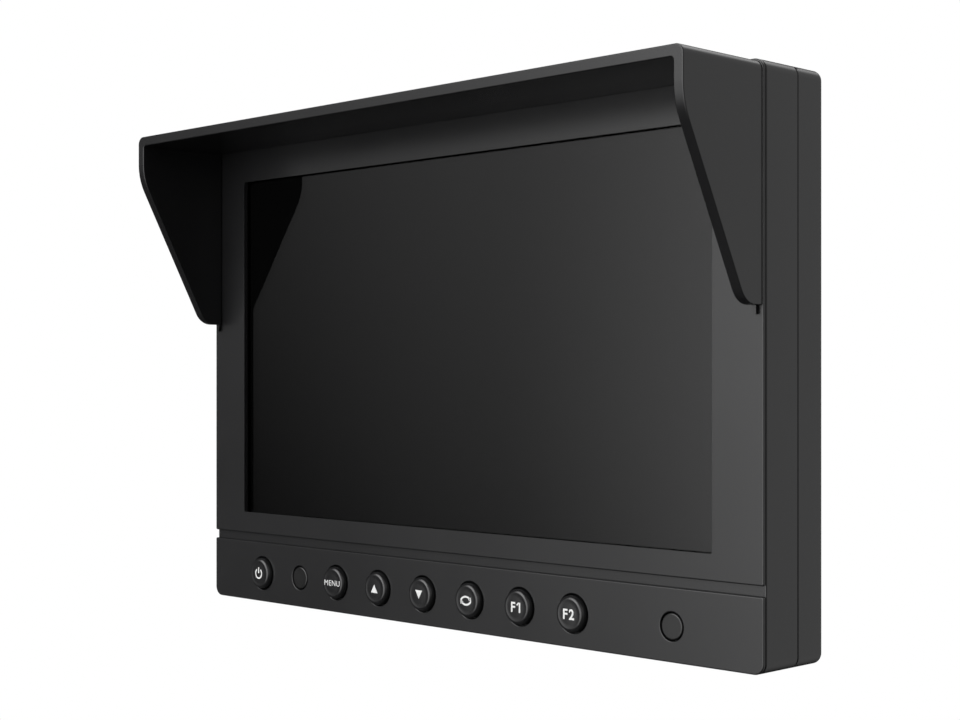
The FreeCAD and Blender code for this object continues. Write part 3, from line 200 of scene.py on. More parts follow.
def math_node(tree, operation, first, second=0.0, place=(0, 0), clamp=False):
    """The output of a Math node."""
    node = add_node(tree, "ShaderNodeMath", place, {0: first, 1: second}, operation=operation,
                    use_clamp=clamp)
    return node.outputs[0]


def grain_group():
    """Moulded grain: a height for a bump, and a mask of its peaks."""
    name = "moulded_grain"
    if name in bpy.data.node_groups:
        return bpy.data.node_groups[name]
    tree, entry, leave = start_group(
        name, [("Grain size", "NodeSocketFloat", 0.0003), ("Waviness", "NodeSocketFloat", 0.3)],
        [("Height", "NodeSocketFloat"), ("Peaks", "NodeSocketFloat")])
    place = add_node(tree, "ShaderNodeTexCoord", (-900, 300))
    scale = math_node(tree, "DIVIDE", 1.0, entry.outputs["Grain size"], (-700, 0))
    pebble = add_node(tree, "ShaderNodeTexVoronoi", (-450, 250),
                      {"Vector": place.outputs["Object"], "Scale": scale}, feature="SMOOTH_F1")
    fine = add_node(tree, "ShaderNodeTexNoise", (-450, 0),
                    {"Vector": place.outputs["Object"], "Scale": scale, "Detail": 3.0,
                     "Roughness": 0.6})
    slow = add_node(tree, "ShaderNodeTexNoise", (-450, -250),
                    {"Vector": place.outputs["Object"], "Scale": 60.0, "Detail": 2.0})
    grain = math_node(tree, "ADD", pebble.outputs["Distance"], fine.outputs["Fac"], (-150, 150))
    wave = math_node(tree, "MULTIPLY", slow.outputs["Fac"], entry.outputs["Waviness"], (-150, -150))
    height = math_node(tree, "ADD", grain, wave, (100, 50))
    tree.links.new(height, leave.inputs["Height"])
    peaks = add_node(tree, "ShaderNodeMapRange", (300, -100),
                     {"Value": grain, "From Min": 0.5, "From Max": 1.3})
    tree.links.new(peaks.outputs["Result"], leave.inputs["Peaks"])
    return tree


def handling_group():
    """Faint marks of handling and dust: a mask that is mostly dark, with soft patches and specks."""
    name = "handling_marks"
    if name in bpy.data.node_groups:
        return bpy.data.node_groups[name]
    tree, entry, leave = start_group(
        name, [("Patch scale", "NodeSocketFloat", 22.0), ("Speck scale", "NodeSocketFloat", 900.0)],
        [("Patches", "NodeSocketFloat"), ("Specks", "NodeSocketFloat")])
    place = add_node(tree, "ShaderNodeTexCoord", (-900, 300))
    patch = add_node(tree, "ShaderNodeTexNoise", (-450, 200),
                     {"Vector": place.outputs["Object"], "Scale": entry.outputs["Patch scale"],
                      "Detail": 4.0, "Roughness": 0.55, "Distortion": 0.4})
    soft = add_node(tree, "ShaderNodeMapRange", (-150, 200),
                    {"Value": patch.outputs["Fac"], "From Min": 0.42, "From Max": 0.72})
    speck = add_node(tree, "ShaderNodeTexVoronoi", (-450, -150),
                     {"Vector": place.outputs["Object"], "Scale": entry.outputs["Speck scale"]})
    dots = add_node(tree, "ShaderNodeMapRange", (-150, -150),
                    {"Value": speck.outputs["Distance"], "From Min": 0.16, "From Max": 0.05})
    rare = add_node(tree, "ShaderNodeSeparateColor", (-150, -400), {"Color": speck.outputs["Color"]})
    few = math_node(tree, "GREATER_THAN", rare.outputs[0], 0.93, (50, -400))
    specks = math_node(tree, "MULTIPLY", dots.outputs["Result"], few, (250, -200))
    tree.links.new(soft.outputs["Result"], leave.inputs["Patches"])
    tree.links.new(specks, leave.inputs["Specks"])
    return tree


def mottle_group():
    """A colour that drifts a little between two, for mouldings, resin, board and metal."""
    name = "mottled_colour"
    if name in bpy.data.node_groups:
        return bpy.data.node_groups[name]
    tree, entry, leave = start_group(
        name, [("First", "NodeSocketColor", (0, 0, 0, 1)), ("Second", "NodeSocketColor", (1, 1, 1, 1)),
               ("Scale", "NodeSocketFloat", 120.0)],
        [("Color", "NodeSocketColor"), ("Mask", "NodeSocketFloat")])
    place = add_node(tree, "ShaderNodeTexCoord", (-900, 300))
    drift = add_node(tree, "ShaderNodeTexNoise", (-450, 0),
                     {"Vector": place.outputs["Object"], "Scale": entry.outputs["Scale"],
                      "Detail": 5.0, "Roughness": 0.6})
    mask = add_node(tree, "ShaderNodeMapRange", (-200, 0),
                    {"Value": drift.outputs["Fac"], "From Min": 0.3, "From Max": 0.7})
    mix = add_node(tree, "ShaderNodeMix", (150, 0), data_type="RGBA")
    tree.links.new(mask.outputs["Result"], mix.inputs[0])
    tree.links.new(entry.outputs["First"], mix.inputs[6])
    tree.links.new(entry.outputs["Second"], mix.inputs[7])
    tree.links.new(mix.outputs[2], leave.inputs["Color"])
    tree.links.new(mask.outputs["Result"], leave.inputs["Mask"])
    return tree


def use_group(tree, group, place=(0, 0), **values):
    """That group in a material, with its own values."""
    node = add_node(tree, "ShaderNodeGroup", place, node_tree=group)
    for name, value in values.items():
        node.inputs[name.replace("_", " ").capitalize()].default_value = value
    return node


def start_material(name, **sockets):
    """A material with a Principled BSDF, whose plain sockets take those values."""
    if name in bpy.data.materials:
        bpy.data.materials.remove(bpy.data.materials[name])
    made = bpy.data.materials.new(name)
    made.use_nodes = True
    shader = made.node_tree.nodes["Principled BSDF"]
    for label, value in sockets.items():
        shader.inputs[label.replace("_", " ").title().replace("Ior", "IOR")].default_value = value
    return made, made.node_tree, shader


def link_bump(tree, shader, height, distance, strength=1.0):
    """A Bump node between that height and the shader's normal."""
    bump = add_node(tree, "ShaderNodeBump", (-300, -350),
                    {"Height": height, "Distance": distance, "Strength": strength})
    tree.links.new(bump.outputs["Normal"], shader.inputs["Normal"])
    return bump


def satin_plastic(name, colour, roughness, grain_size, grain_depth, spread=0.04):
    """Smooth black plastic with a fine moulded grain and faint marks of handling."""
    made, tree, shader = start_material(name, ior=1.54)
    lighter = [c * 1.25 + 0.0006 for c in colour]
    tint = use_group(tree, mottle_group(), (-900, 250), scale=35.0)
    tint.inputs["First"].default_value = (*colour, 1)
    tint.inputs["Second"].default_value = (*lighter, 1)
    grain = use_group(tree, grain_group(), (-900, -250), grain_size=grain_size)
    marks = use_group(tree, handling_group(), (-900, 0))
    dust = add_node(tree, "ShaderNodeMix", (-300, 250), data_type="RGBA")
    dust.inputs[7].default_value = (0.03, 0.03, 0.03, 1)
    faint = math_node(tree, "MULTIPLY", marks.outputs["Specks"], 0.25, (-600, 120))
    tree.links.new(faint, dust.inputs[0])
    tree.links.new(tint.outputs["Color"], dust.inputs[6])
    tree.links.new(dust.outputs[2], shader.inputs["Base Color"])
    worn = add_node(tree, "ShaderNodeMapRange", (-500, 0),
                    {"Value": marks.outputs["Patches"], "To Min": roughness - spread / 2,
                     "To Max": roughness + spread / 2})
    tree.links.new(worn.outputs["Result"], shader.inputs["Roughness"])
    link_bump(tree, shader, grain.outputs["Height"], grain_depth)
    return made


def mottled(name, first, second, scale, roughness, metallic=0.0, bump=0.0, pitch=0.0002, **sockets):
    """A finish whose colour and roughness drift a little over the surface."""
    made, tree, shader = start_material(name, metallic=metallic, **sockets)
    tint = use_group(tree, mottle_group(), (-900, 250), scale=scale)
    tint.inputs["First"].default_value = (*first, 1)
    tint.inputs["Second"].default_value = (*second, 1)
    tree.links.new(tint.outputs["Color"], shader.inputs["Base Color"])
    gloss = add_node(tree, "ShaderNodeMapRange", (-500, 0),
                     {"Value": tint.outputs["Mask"], "To Min": roughness * 0.85,
                      "To Max": min(roughness * 1.15, 1.0)})
    tree.links.new(gloss.outputs["Result"], shader.inputs["Roughness"])
    if bump:
        grain = use_group(tree, grain_group(), (-900, -250), grain_size=pitch)
        link_bump(tree, shader, grain.outputs["Height"], bump)
    return made


def glass_material(name, tint, roughness):
    """Tinted cover glass with faint smears."""
    made, tree, shader = start_material(name, base_color=(*tint, 1), ior=1.45, transmission_weight=1.0)
    marks = use_group(tree, handling_group(), (-900, 0), patch_scale=14.0)
    smear = add_node(tree, "ShaderNodeMapRange", (-500, 0),
                     {"Value": marks.outputs["Patches"], "To Min": roughness,
                      "To Max": roughness + 0.015})
    tree.links.new(smear.outputs["Result"], shader.inputs["Roughness"])
    return made


def display_material(name, colour):
    """A switched-off display: a black mask round the picture area, and a very faint grid of dots in it."""
    made, tree, shader = start_material(name, specular_ior_level=0.3)
    place = add_node(tree, "ShaderNodeTexCoord", (-1500, 0))
    parts = add_node(tree, "ShaderNodeSeparateXYZ", (-1300, 0), {0: place.outputs["Object"]})
    across = math_node(tree, "ABSOLUTE", parts.outputs["X"], place=(-1100, 100))
    centred = math_node(tree, "SUBTRACT", parts.outputs["Z"], 0.0064, (-1100, -100))
    up = math_node(tree, "ABSOLUTE", centred, place=(-950, -100))
    within_x = math_node(tree, "LESS_THAN", across, 0.07704, (-800, 100))
    within_z = math_node(tree, "LESS_THAN", up, 0.04296, (-800, -100))
    picture = math_node(tree, "MULTIPLY", within_x, within_z, (-650, 0))
    dots = add_node(tree, "ShaderNodeTexVoronoi", (-950, -350),
                    {"Vector": place.outputs["Object"], "Scale": 5200.0, "Randomness": 0.0})
    lit = math_node(tree, "MULTIPLY", dots.outputs["Distance"], 0.12, (-700, -350))
    mix = add_node(tree, "ShaderNodeMix", (-400, 100), data_type="RGBA")
    mix.inputs[6].default_value = (0.0025, 0.0025, 0.0025, 1)
    tree.links.new(picture, mix.inputs[0])
    dotted = add_node(tree, "ShaderNodeMix", (-550, -250), data_type="RGBA")
    dotted.inputs[6].default_value = (*colour, 1)
    dotted.inputs[7].default_value = (*[c * 1.6 for c in colour], 1)
    tree.links.new(lit, dotted.inputs[0])
    tree.links.new(dotted.outputs[2], mix.inputs[7])
    tree.links.new(mix.outputs[2], shader.inputs["Base Color"])
    matte = add_node(tree, "ShaderNodeMapRange", (-300, -100),
                     {"Value": picture, "To Min": 0.5, "To Max": 0.32})
    tree.links.new(matte.outputs["Result"], shader.inputs["Roughness"])
    return made


def print_material(name, colour):
    """White key print with a slightly uneven lay."""
    return mottled(name, [c * 0.94 for c in colour], colour, 900.0, 0.55, bump=0.000004, pitch=0.00012)


def dress(node, made):
    """That material on a CAD node, which keeps its shape."""
    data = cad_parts[node].data
    data.materials.clear()
    data.materials.append(made)


# Modelling helpers


def clear_selection():
    """Object mode with nothing selected."""
    if bpy.context.object and bpy.context.object.mode != "OBJECT":
        bpy.ops.object.mode_set(mode="OBJECT")
    bpy.ops.object.select_all(action="DESELECT")


def pick(piece, kind, test):
    """In edit mode, selects only the vertices, edges or faces for which test is true of their middle and normal."""
    bpy.ops.mesh.select_all(action="DESELECT")
    bpy.ops.mesh.select_mode(type=kind)
    bpy.ops.object.mode_set(mode="OBJECT")
    data = piece.data
    if kind == "FACE":
        for face in data.polygons:
            face.select = test(face.center, face.normal)
    elif kind == "EDGE":
        for edge in data.edges:
            ends = [data.vertices[i].co for i in edge.vertices]
            edge.select = test(*ends)
    else:
        for vertex in data.vertices:
            vertex.select = test(vertex.co)
    bpy.ops.object.mode_set(mode="EDIT")


def turn_and_place(piece, place, rear=False):
    """Lays a piece modelled face up onto the front, or the rear, and puts its place into its mesh."""
    clear_selection()
    piece.select_set(True)
    bpy.context.view_layer.objects.active = piece
    piece.rotation_euler = (math.radians(-90 if rear else 90), 0, 0)
    piece.location = place
    bpy.ops.object.transform_apply(location=True, rotation=True, scale=True)


def hand_over(piece, name, made, body, slot, *nodes, angle=35):
    """Names a finished piece, gives it its material and body, and hides the CAD nodes it stands for. The slot is
    not used.
    """
    clear_selection()
    piece.select_set(True)
    bpy.context.view_layer.objects.active = piece
    bpy.ops.object.shade_smooth_by_angle(angle=math.radians(angle))
    piece.name = name
    piece.data.name = name
    piece.data.materials.clear()
    piece.data.materials.append(made)
    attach(piece, body)
    if nodes:
        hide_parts(*nodes)
    clear_selection()


def turned(profile, steps=64):
    """A turned piece, face up, from the radii and heights in millimetres of its profile."""
    clear_selection()
    bpy.ops.mesh.primitive_plane_add(size=MM)
    piece = bpy.context.object
    bpy.ops.object.mode_set(mode="EDIT")
    bpy.ops.mesh.select_mode(type="VERT")
    bpy.ops.mesh.merge(type="CENTER")
    radius, height = profile[0]
    bpy.ops.transform.translate(value=(radius * MM, 0, height * MM))
    for next_radius, next_height in profile[1:]:
        step = ((next_radius - radius) * MM, 0, (next_height - height) * MM)
        bpy.ops.mesh.extrude_region_move(TRANSFORM_OT_translate={"value": step})
        radius, height = next_radius, next_height
    bpy.ops.mesh.select_all(action="SELECT")
    bpy.ops.mesh.spin(steps=steps, angle=math.tau, center=(0, 0, 0), axis=(0, 0, 1))
    bpy.ops.mesh.select_all(action="SELECT")
    bpy.ops.mesh.remove_doubles(threshold=MM / 1000)
    bpy.ops.mesh.normals_make_consistent(inside=False)
    bpy.ops.object.mode_set(mode="OBJECT")
    return piece


def quarter(radius, height, edge, steps=5):
    """A profile's rounded outer edge, from its face outwards and down."""
    turns = [math.pi / 2 * step / steps for step in range(steps + 1)]
    return [(radius - edge + edge * math.sin(turn), height - edge + edge * math.cos(turn))
            for turn in turns]


def thread(root, crest, low, high, pitch):
    """A profile's thread from a low height up to a high one."""
    turns = int((high - low) / pitch)
    points = []
    for turn in range(turns):
        start = low + turn * pitch
        points += [(root, start), (root, start + 0.2 * pitch), (crest, start + 0.55 * pitch),
                   (crest, start + 0.7 * pitch)]
    return points + [(root, low + turns * pitch)]


def bar_tool(width, length, low, high, narrow=1.0):
    """A bar that cuts a slot, between two heights and narrower at its foot, in millimetres."""
    clear_selection()
    bpy.ops.mesh.primitive_cube_add(size=MM, location=(0, 0, (low + high) / 2 * MM))
    tool = bpy.context.object
    tool.scale = (width, length, high - low)
    bpy.ops.object.transform_apply(location=True, rotation=True, scale=True)
    bpy.ops.object.mode_set(mode="EDIT")
    pick(tool, "FACE", lambda c, n: n.z < -0.9)
    bpy.ops.transform.resize(value=(narrow, narrow, 1))
    bpy.ops.object.mode_set(mode="OBJECT")
    return tool


def cut_out(piece, tool):
    """Takes a tool's shape out of a piece."""
    clear_selection()
    piece.select_set(True)
    bpy.context.view_layer.objects.active = piece
    cut = piece.modifiers.new("cut", "BOOLEAN")
    cut.object = tool
    cut.solver = "EXACT"
    bpy.ops.object.modifier_apply(modifier=cut.name)
    bpy.data.objects.remove(tool)


def copy_to(pattern, places, rear):
    """Copies of a pattern at those places as one piece, and the pattern removed."""
    copies = []
    for place in places:
        copied = pattern.copy()
        copied.data = pattern.data.copy()
        bpy.context.scene.collection.objects.link(copied)
        turn_and_place(copied, place, rear)
        copies.append(copied)
    bpy.data.objects.remove(pattern)
    return copies


# Keys


def model_cap(look):
    """One key, face up: stem, flange with two flats, and a cap with a rounded, slightly crowned face."""
    clear_selection()
    stem, flange, cap = 1.5 * MM, 5.0 * MM, 4.05 * MM
    heights = [15.8 * MM, 16.8 * MM, 17.8 * MM, -CAP_FACE * MM]
    bpy.ops.mesh.primitive_circle_add(vertices=96, radius=stem, fill_type="NGON",
                                      location=(0, 0, heights[0]))
    piece = bpy.context.object
    bpy.ops.object.transform_apply(location=True, rotation=True, scale=True)
    bpy.ops.object.mode_set(mode="EDIT")
    bpy.ops.mesh.select_all(action="SELECT")
    before = stem
    for step, radius in enumerate((flange, cap)):
        rise = heights[step + 1] - heights[step]
        bpy.ops.mesh.extrude_region_move(TRANSFORM_OT_translate={"value": (0, 0, rise)})
        bpy.ops.mesh.extrude_region_move()
        bpy.ops.transform.resize(value=(radius / before, radius / before, 1))
        before = radius
    bpy.ops.mesh.extrude_region_move(
        TRANSFORM_OT_translate={"value": (0, 0, heights[3] - heights[2])})
    face = heights[3]
    pick(piece, "EDGE", lambda a, b: min(a.z, b.z) > face - 1e-6 and a.xy.length > cap * 0.99)
    bpy.ops.mesh.bevel(offset=look.edge_round, segments=10, profile=0.5)
    pick(piece, "FACE", lambda c, n: n.z > 0.99 and c.z > face - 1e-6 and c.xy.length < cap * 0.1)
    bpy.ops.mesh.inset(thickness=0.0009)
    pick(piece, "VERT", lambda v: v.z > face - 1e-6 and v.xy.length > cap * 0.7)
    bpy.ops.transform.translate(value=(0, 0, -look.crown))
    bpy.ops.mesh.select_all(action="SELECT")
    for side in (1, -1):
        bpy.ops.mesh.select_all(action="SELECT")
        bpy.ops.mesh.bisect(plane_co=(0, side * 4.25 * MM, 0), plane_no=(0, side, 0),
                            use_fill=True, clear_outer=True, threshold=1e-7)
    bpy.ops.mesh.select_all(action="SELECT")
    bpy.ops.mesh.normals_make_consistent(inside=False)
    bpy.ops.object.mode_set(mode="OBJECT")
    return piece


def arc_band(radius, width, start, sweep, squash=1.0):
    """A flat band along an arc about the middle, from an angle and through a sweep in degrees."""
    clear_selection()
    bpy.ops.mesh.primitive_plane_add(size=width, location=(radius, 0, 0))
    band = bpy.context.object
    bpy.ops.object.transform_apply(location=True, rotation=True, scale=True)
    bpy.ops.object.mode_set(mode="EDIT")
    pick(band, "VERT", lambda v: v.y > 0)
    bpy.ops.mesh.delete(type="VERT")
    pick(band, "VERT", lambda v: True)
    bpy.ops.transform.translate(value=(0, width / 2, 0))
    bpy.ops.mesh.spin(steps=40, angle=math.radians(sweep), center=(0, 0, 0), axis=(0, 0, 1))
    bpy.ops.mesh.select_all(action="SELECT")
    bpy.ops.mesh.remove_doubles(threshold=1e-6)
    bpy.ops.object.mode_set(mode="OBJECT")
    band.rotation_euler = (0, 0, math.radians(start))
    bpy.ops.object.transform_apply(location=True, rotation=True, scale=True)
    band.scale = (1, squash, 1)
    bpy.ops.object.transform_apply(location=True, rotation=True, scale=True)
    return band


def flat_triangle(width, height, place, turn=0.0):
    """A flat triangle that points up, turned by an angle in degrees."""
    clear_selection()
    bpy.ops.mesh.primitive_circle_add(vertices=3, radius=1, fill_type="NGON")
    made = bpy.context.object
    made.scale = (width / math.sqrt(3), height / 1.5, 1)
    bpy.ops.object.transform_apply(location=True, rotation=True, scale=True)
    made.location = (0, -height / 6, 0)
    bpy.ops.object.transform_apply(location=True, rotation=True, scale=True)
    made.rotation_euler = (0, 0, math.radians(turn))
    made.location = (*place, 0)
    bpy.ops.object.transform_apply(location=True, rotation=True, scale=True)
    return made


def flat_bar(width, height, place, turn=0.0):
    """A flat upright bar, turned by an angle in degrees."""
    clear_selection()
    bpy.ops.mesh.primitive_plane_add(size=1)
    made = bpy.context.object
    made.scale = (width, height, 1)
    bpy.ops.object.transform_apply(location=True, rotation=True, scale=True)
    made.rotation_euler = (0, 0, math.radians(turn))
    made.location = (*place, 0)
    bpy.ops.object.transform_apply(location=True, rotation=True, scale=True)
    return made


def flat_word(word, height, widen=1.0, bold=0.0, spread=1.0):
    """A printed word, flat and centred."""
    clear_selection()
    bpy.ops.object.text_add()
    made = bpy.context.object
    made.data.body = word
    made.data.size = height / 0.73
    made.data.offset = bold * height
    made.data.space_character = spread
    made.data.resolution_u = 6
    bpy.ops.object.convert(target="MESH")
    made = bpy.context.object
    corners = [v.co for v in made.data.vertices]
    middle = [(min(c[i] for c in corners) + max(c[i] for c in corners)) / 2 for i in (0, 1)]
    made.location = (-middle[0], -middle[1], 0)
    bpy.ops.object.transform_apply(location=True, rotation=True, scale=True)
    made.scale = (widen, 1, 1)
    bpy.ops.object.transform_apply(location=True, rotation=True, scale=True)
    return made


def cycle_arrow(turn):
    """One of the two bent arrows of the source key, turned about the middle by an angle in degrees."""
    band = arc_band(2.05 * MM, 0.44 * MM, 142, 96)
    tip = flat_triangle(1.1 * MM, 0.95 * MM, (1.5 * MM, 1.34 * MM), -146)
    arrow = join([band, tip])
    arrow.location = (0, -1.13 * MM, 0)
    bpy.ops.object.transform_apply(location=True, rotation=True, scale=True)
    arrow.rotation_euler = (0, 0, math.radians(turn))
    bpy.ops.object.transform_apply(location=True, rotation=True, scale=True)
    return arrow


def join(pieces):
    """Those flat pieces as one."""
    clear_selection()
    for piece in pieces:
        piece.select_set(True)
    bpy.context.view_layer.objects.active = pieces[0]
    if len(pieces) > 1:
        bpy.ops.object.join()
    return pieces[0]


def thicken(piece, thickness):
    """Gives a flat print its thickness, upwards from its plane."""
    clear_selection()
    piece.select_set(True)
    bpy.context.view_layer.objects.active = piece
    bpy.ops.object.mode_set(mode="EDIT")
    bpy.ops.mesh.select_all(action="SELECT")
    bpy.ops.mesh.extrude_region_move(TRANSFORM_OT_translate={"value": (0, 0, thickness)})
    bpy.ops.mesh.select_all(action="SELECT")
    bpy.ops.mesh.normals_make_consistent(inside=False)
    bpy.ops.object.mode_set(mode="OBJECT")
    return piece


def legend(kind, look):
    """The flat print of one key."""
    tall = look.legend_height
    if kind == "power":
        return join([arc_band(1.25 * MM, 0.42 * MM, 54, 288), flat_bar(0.42 * MM, 1.55 * MM, (0, 0.85 * MM))])
    if kind == "menu":
        return flat_word("MENU", tall * 0.62, 1.1, 0.0, 1.06)
    if kind == "up":
        return flat_triangle(2.4 * MM, 2.05 * MM, (0, 0))
    if kind == "down":
        return flat_triangle(2.4 * MM, 2.05 * MM, (0, 0), 180)
    if kind == "source":
        return join([cycle_arrow(turn) for turn in (0, 180)])
    if kind == "second":
        return flat_word("F2", tall, 1.0, 0.034, 1.24)
    word = flat_word("F1", tall, 1.0, 0.034, 1.34)
    flag = flat_bar(0.36 * MM, 0.75 * MM, (0.62 * MM, 0.78 * MM), -48)
    return join([word, flag])


class MONITOR_OT_keys(bpy.types.Operator):
    """Models the seven push keys and prints their legends"""
    bl_idname = "monitor.keys"
    bl_label = "Keys"

    def execute(self, context):
        look = context.scene.monitor_keys
        plastics = context.scene.monitor_plastics
        plastic = satin_plastic("key_satin", plastics.plate_colour, plastics.roughness - 0.04,
                                plastics.grain_size, plastics.grain_depth * 0.5)
        ink = print_material("legend_ink", look.legend_colour)
        pattern = model_cap(look)
        for kind, (body, column) in KEYS.items():
            clear_selection()
            cap = pattern.copy()
            cap.data = pattern.data.copy()
            context.scene.collection.objects.link(cap)
            turn_and_place(cap, (column * MM, 0, KEY_ROW * MM))
            hand_over(cap, kind + "_cap", plastic, body, "key_plastic", kind + "_key")
            mark = thicken(legend(kind, look), look.print_thickness)
            turn_and_place(mark, (column * MM, CAP_FACE * MM, KEY_ROW * MM))
            hand_over(mark, kind + "_legend", ink, body, "key_plastic")
        bpy.data.objects.remove(pattern)
        return {"FINISHED"}


# Housing, screen, rear and inner pieces


class MONITOR_OT_housing(bpy.types.Operator):
    """Gives the case halves, the front plates and the sun visor their satin plastic"""
    bl_idname = "monitor.housing"
    bl_label = "Housing"

    def execute(self, context):
        look = context.scene.monitor_plastics
        case = satin_plastic("case_satin", look.case_colour, look.roughness, look.grain_size,
                             look.grain_depth)
        plate = satin_plastic("plate_satin", look.plate_colour, look.roughness, look.grain_size,
                              look.grain_depth)
        visor = satin_plastic("visor_satin", look.visor_colour, look.roughness,
                              look.grain_size, look.grain_depth)
        for node in ("front_case", "rear_case"):
            dress(node, case)
        for node in ("bezel_frame", "button_panel"):
            dress(node, plate)
        dress("sun_visor", visor)
        return {"FINISHED"}


class MONITOR_OT_screen(bpy.types.Operator):
    """Dresses the cover glass, its gasket and the display"""
    bl_idname = "monitor.screen"
    bl_label = "Screen"

    def execute(self, context):
        look = context.scene.monitor_screen
        dress("cover_glass", glass_material("cover_glass", look.glass_tint, look.glass_roughness))
        dress("lcd_cell", display_material("switched_off_display", look.cell_colour))
        foam = mottled("gasket_foam", (0.006, 0.006, 0.006), (0.012, 0.012, 0.012), 900.0, 0.9,
                       bump=0.00005, pitch=0.0004)
        dress("glass_gasket", foam)
        return {"FINISHED"}


class MONITOR_OT_windows(bpy.types.Operator):
    """Models the receiver window and the sensor window, with their rounded faces and their flanges"""
    bl_idname = "monitor.windows"
    bl_label = "Small windows"

    def execute(self, context):
        look = context.scene.monitor_screen
        tinted = mottled("dark_window", look.window_colour, [c * 1.3 for c in look.window_colour],
                         200.0, 0.2)
        for node, (column, end) in WINDOWS.items():
            edge = look.window_edge / MM
            profile = [(0, 20.75), (2.77 - edge, 20.75)] + quarter(2.8, 20.75, edge)
            profile += [(2.8, 17.9), *quarter(3.8, 17.9, 0.1, 2), (3.8, 17.1), (2.78, 17.1),
                        (2.78, end), (0, end)]
            window = turned(profile)
            turn_and_place(window, (column * MM, 0, KEY_ROW * MM))
            hand_over(window, node + "_lens", tinted, "monitor", "tinted_window", node)
        return {"FINISHED"}


class MONITOR_OT_fasteners(bpy.types.Operator):
    """Models the case screws and the mounting inserts, and dresses the small screws"""
    bl_idname = "monitor.fasteners"
    bl_label = "Fasteners"

    def execute(self, context):
        black = mottled("blackened_steel", (0.02, 0.02, 0.021), (0.035, 0.034, 0.033), 600.0, 0.34,
                        metallic=0.9, bump=0.000006)
        brass = mottled("turned_brass", (0.62, 0.43, 0.17), (0.74, 0.54, 0.24), 700.0, 0.3,
                        metallic=1.0, bump=0.000004)
        places = [(x * MM, 0, z * MM) for x in (-85.9, 85.9) for z in (-51.0, 0.35, 51.7)]
        for index, screw in enumerate(copy_to(self.model_screw(), places, True)):
            hand_over(screw, "case_screw_%d" % (index + 1), black, "monitor", "black_screw",
                      "case_screws")
        places = [(x * MM, 0, z * MM) for x in (-37.5, 37.5) for z in (-37.5, 37.5)]
        for index, sleeve in enumerate(copy_to(self.model_insert(), places, True)):
            hand_over(sleeve, "mount_insert_%d" % (index + 1), brass, "monitor", "brass_insert",
                      "mount_inserts")
        zinc = mottled("zinc_plate", (0.55, 0.56, 0.58), (0.68, 0.69, 0.7), 700.0, 0.34,
                       metallic=1.0, bump=0.000004)
        dress("board_standoffs", brass)
        for node in ("bracket_screws", "board_screws", "key_board_screws", "speaker_screws"):
            dress(node, zinc)
        return {"FINISHED"}

    def model_screw(self):
        """A pan head screw, head up, with a cross recess and a cutting thread."""
        head = [(0, -0.2), (1.2, -0.22), (1.6, -0.33), (1.9, -0.52), (2.1, -0.8), (2.2, -1.15),
                (2.2, -1.72), (2.12, -1.8), (1.3, -1.8), (1.0, -2.1)]
        shank = thread(0.95, 1.25, -14.2, -2.4, 0.85)
        screw = turned(head + shank[::-1] + [(0.55, -14.9), (0.25, -15.2), (0, -15.2)], 48)
        for turn in (0, 90):
            tool = bar_tool(0.55, 2.3, -1.25, 0.2, 0.45)
            tool.rotation_euler = (0, 0, math.radians(turn))
            cut_out(screw, tool)
        return screw

    def model_insert(self):
        """A threaded sleeve, mouth up, with a groove round it and a chamfered mouth."""
        inner = thread(2.25, 2.0, -4.8, -0.4, 0.7)
        sleeve = [(2.32, 0), (2.6, 0), (2.75, -0.15), (2.75, -1.6), (2.5, -1.8), (2.5, -2.2),
                  (2.75, -2.4), (2.75, -4.85), (2.6, -5.0), (2.3, -5.0)]
        return turned(sleeve + inner + [sleeve[0]], 48)


class MONITOR_OT_inlet(bpy.types.Operator):
    """Models the shell of the cable inlet, and dresses its insert, contacts and seal"""
    bl_idname = "monitor.inlet"
    bl_label = "Cable inlet"

    def execute(self, context):
        metal = mottled("inlet_metal", (0.42, 0.43, 0.44), (0.55, 0.56, 0.57), 500.0, 0.3,
                        metallic=1.0, bump=0.000005)
        mouth = [(6.95, -0.2), (7.75, -0.2), (8.0, -0.45), (8.0, -2.8), (9.65, -2.8), (9.8, -2.95),
                 (9.8, -3.95), (9.65, -4.1), (8.0, -4.1), (8.0, -5.8), (5.85, -5.8), (5.85, -4.6),
                 (6.5, -4.6)]
        shell = turned(mouth + thread(6.82, 6.52, -4.3, -0.6, 0.75) + [mouth[0]], 96)
        key = bar_tool(1.6, 1.2, -3.6, 0.2)
        key.location = (0, 6.8 * MM, 0)
        cut_out(shell, key)
        turn_and_place(shell, (0, 0, -44 * MM), True)
        hand_over(shell, "inlet_shell_turned", metal, "monitor", "inlet_metal", "inlet_shell")
        dress("inlet_seal", mottled("seal_rubber", (0.012, 0.012, 0.012), (0.02, 0.02, 0.02),
                                    500.0, 0.7, bump=0.00001))
        dress("case_seal", bpy.data.materials["seal_rubber"])
        dress("inlet_insert", mottled("socket_resin", (0.014, 0.014, 0.014), (0.022, 0.022, 0.022),
                                      300.0, 0.42, bump=0.000006))
        dress("ribbon_sockets", bpy.data.materials["socket_resin"])
        dress("inlet_contacts", mottled("gilded_contact", (0.8, 0.6, 0.25), (0.88, 0.7, 0.34),
                                        800.0, 0.22, metallic=1.0))
        return {"FINISHED"}


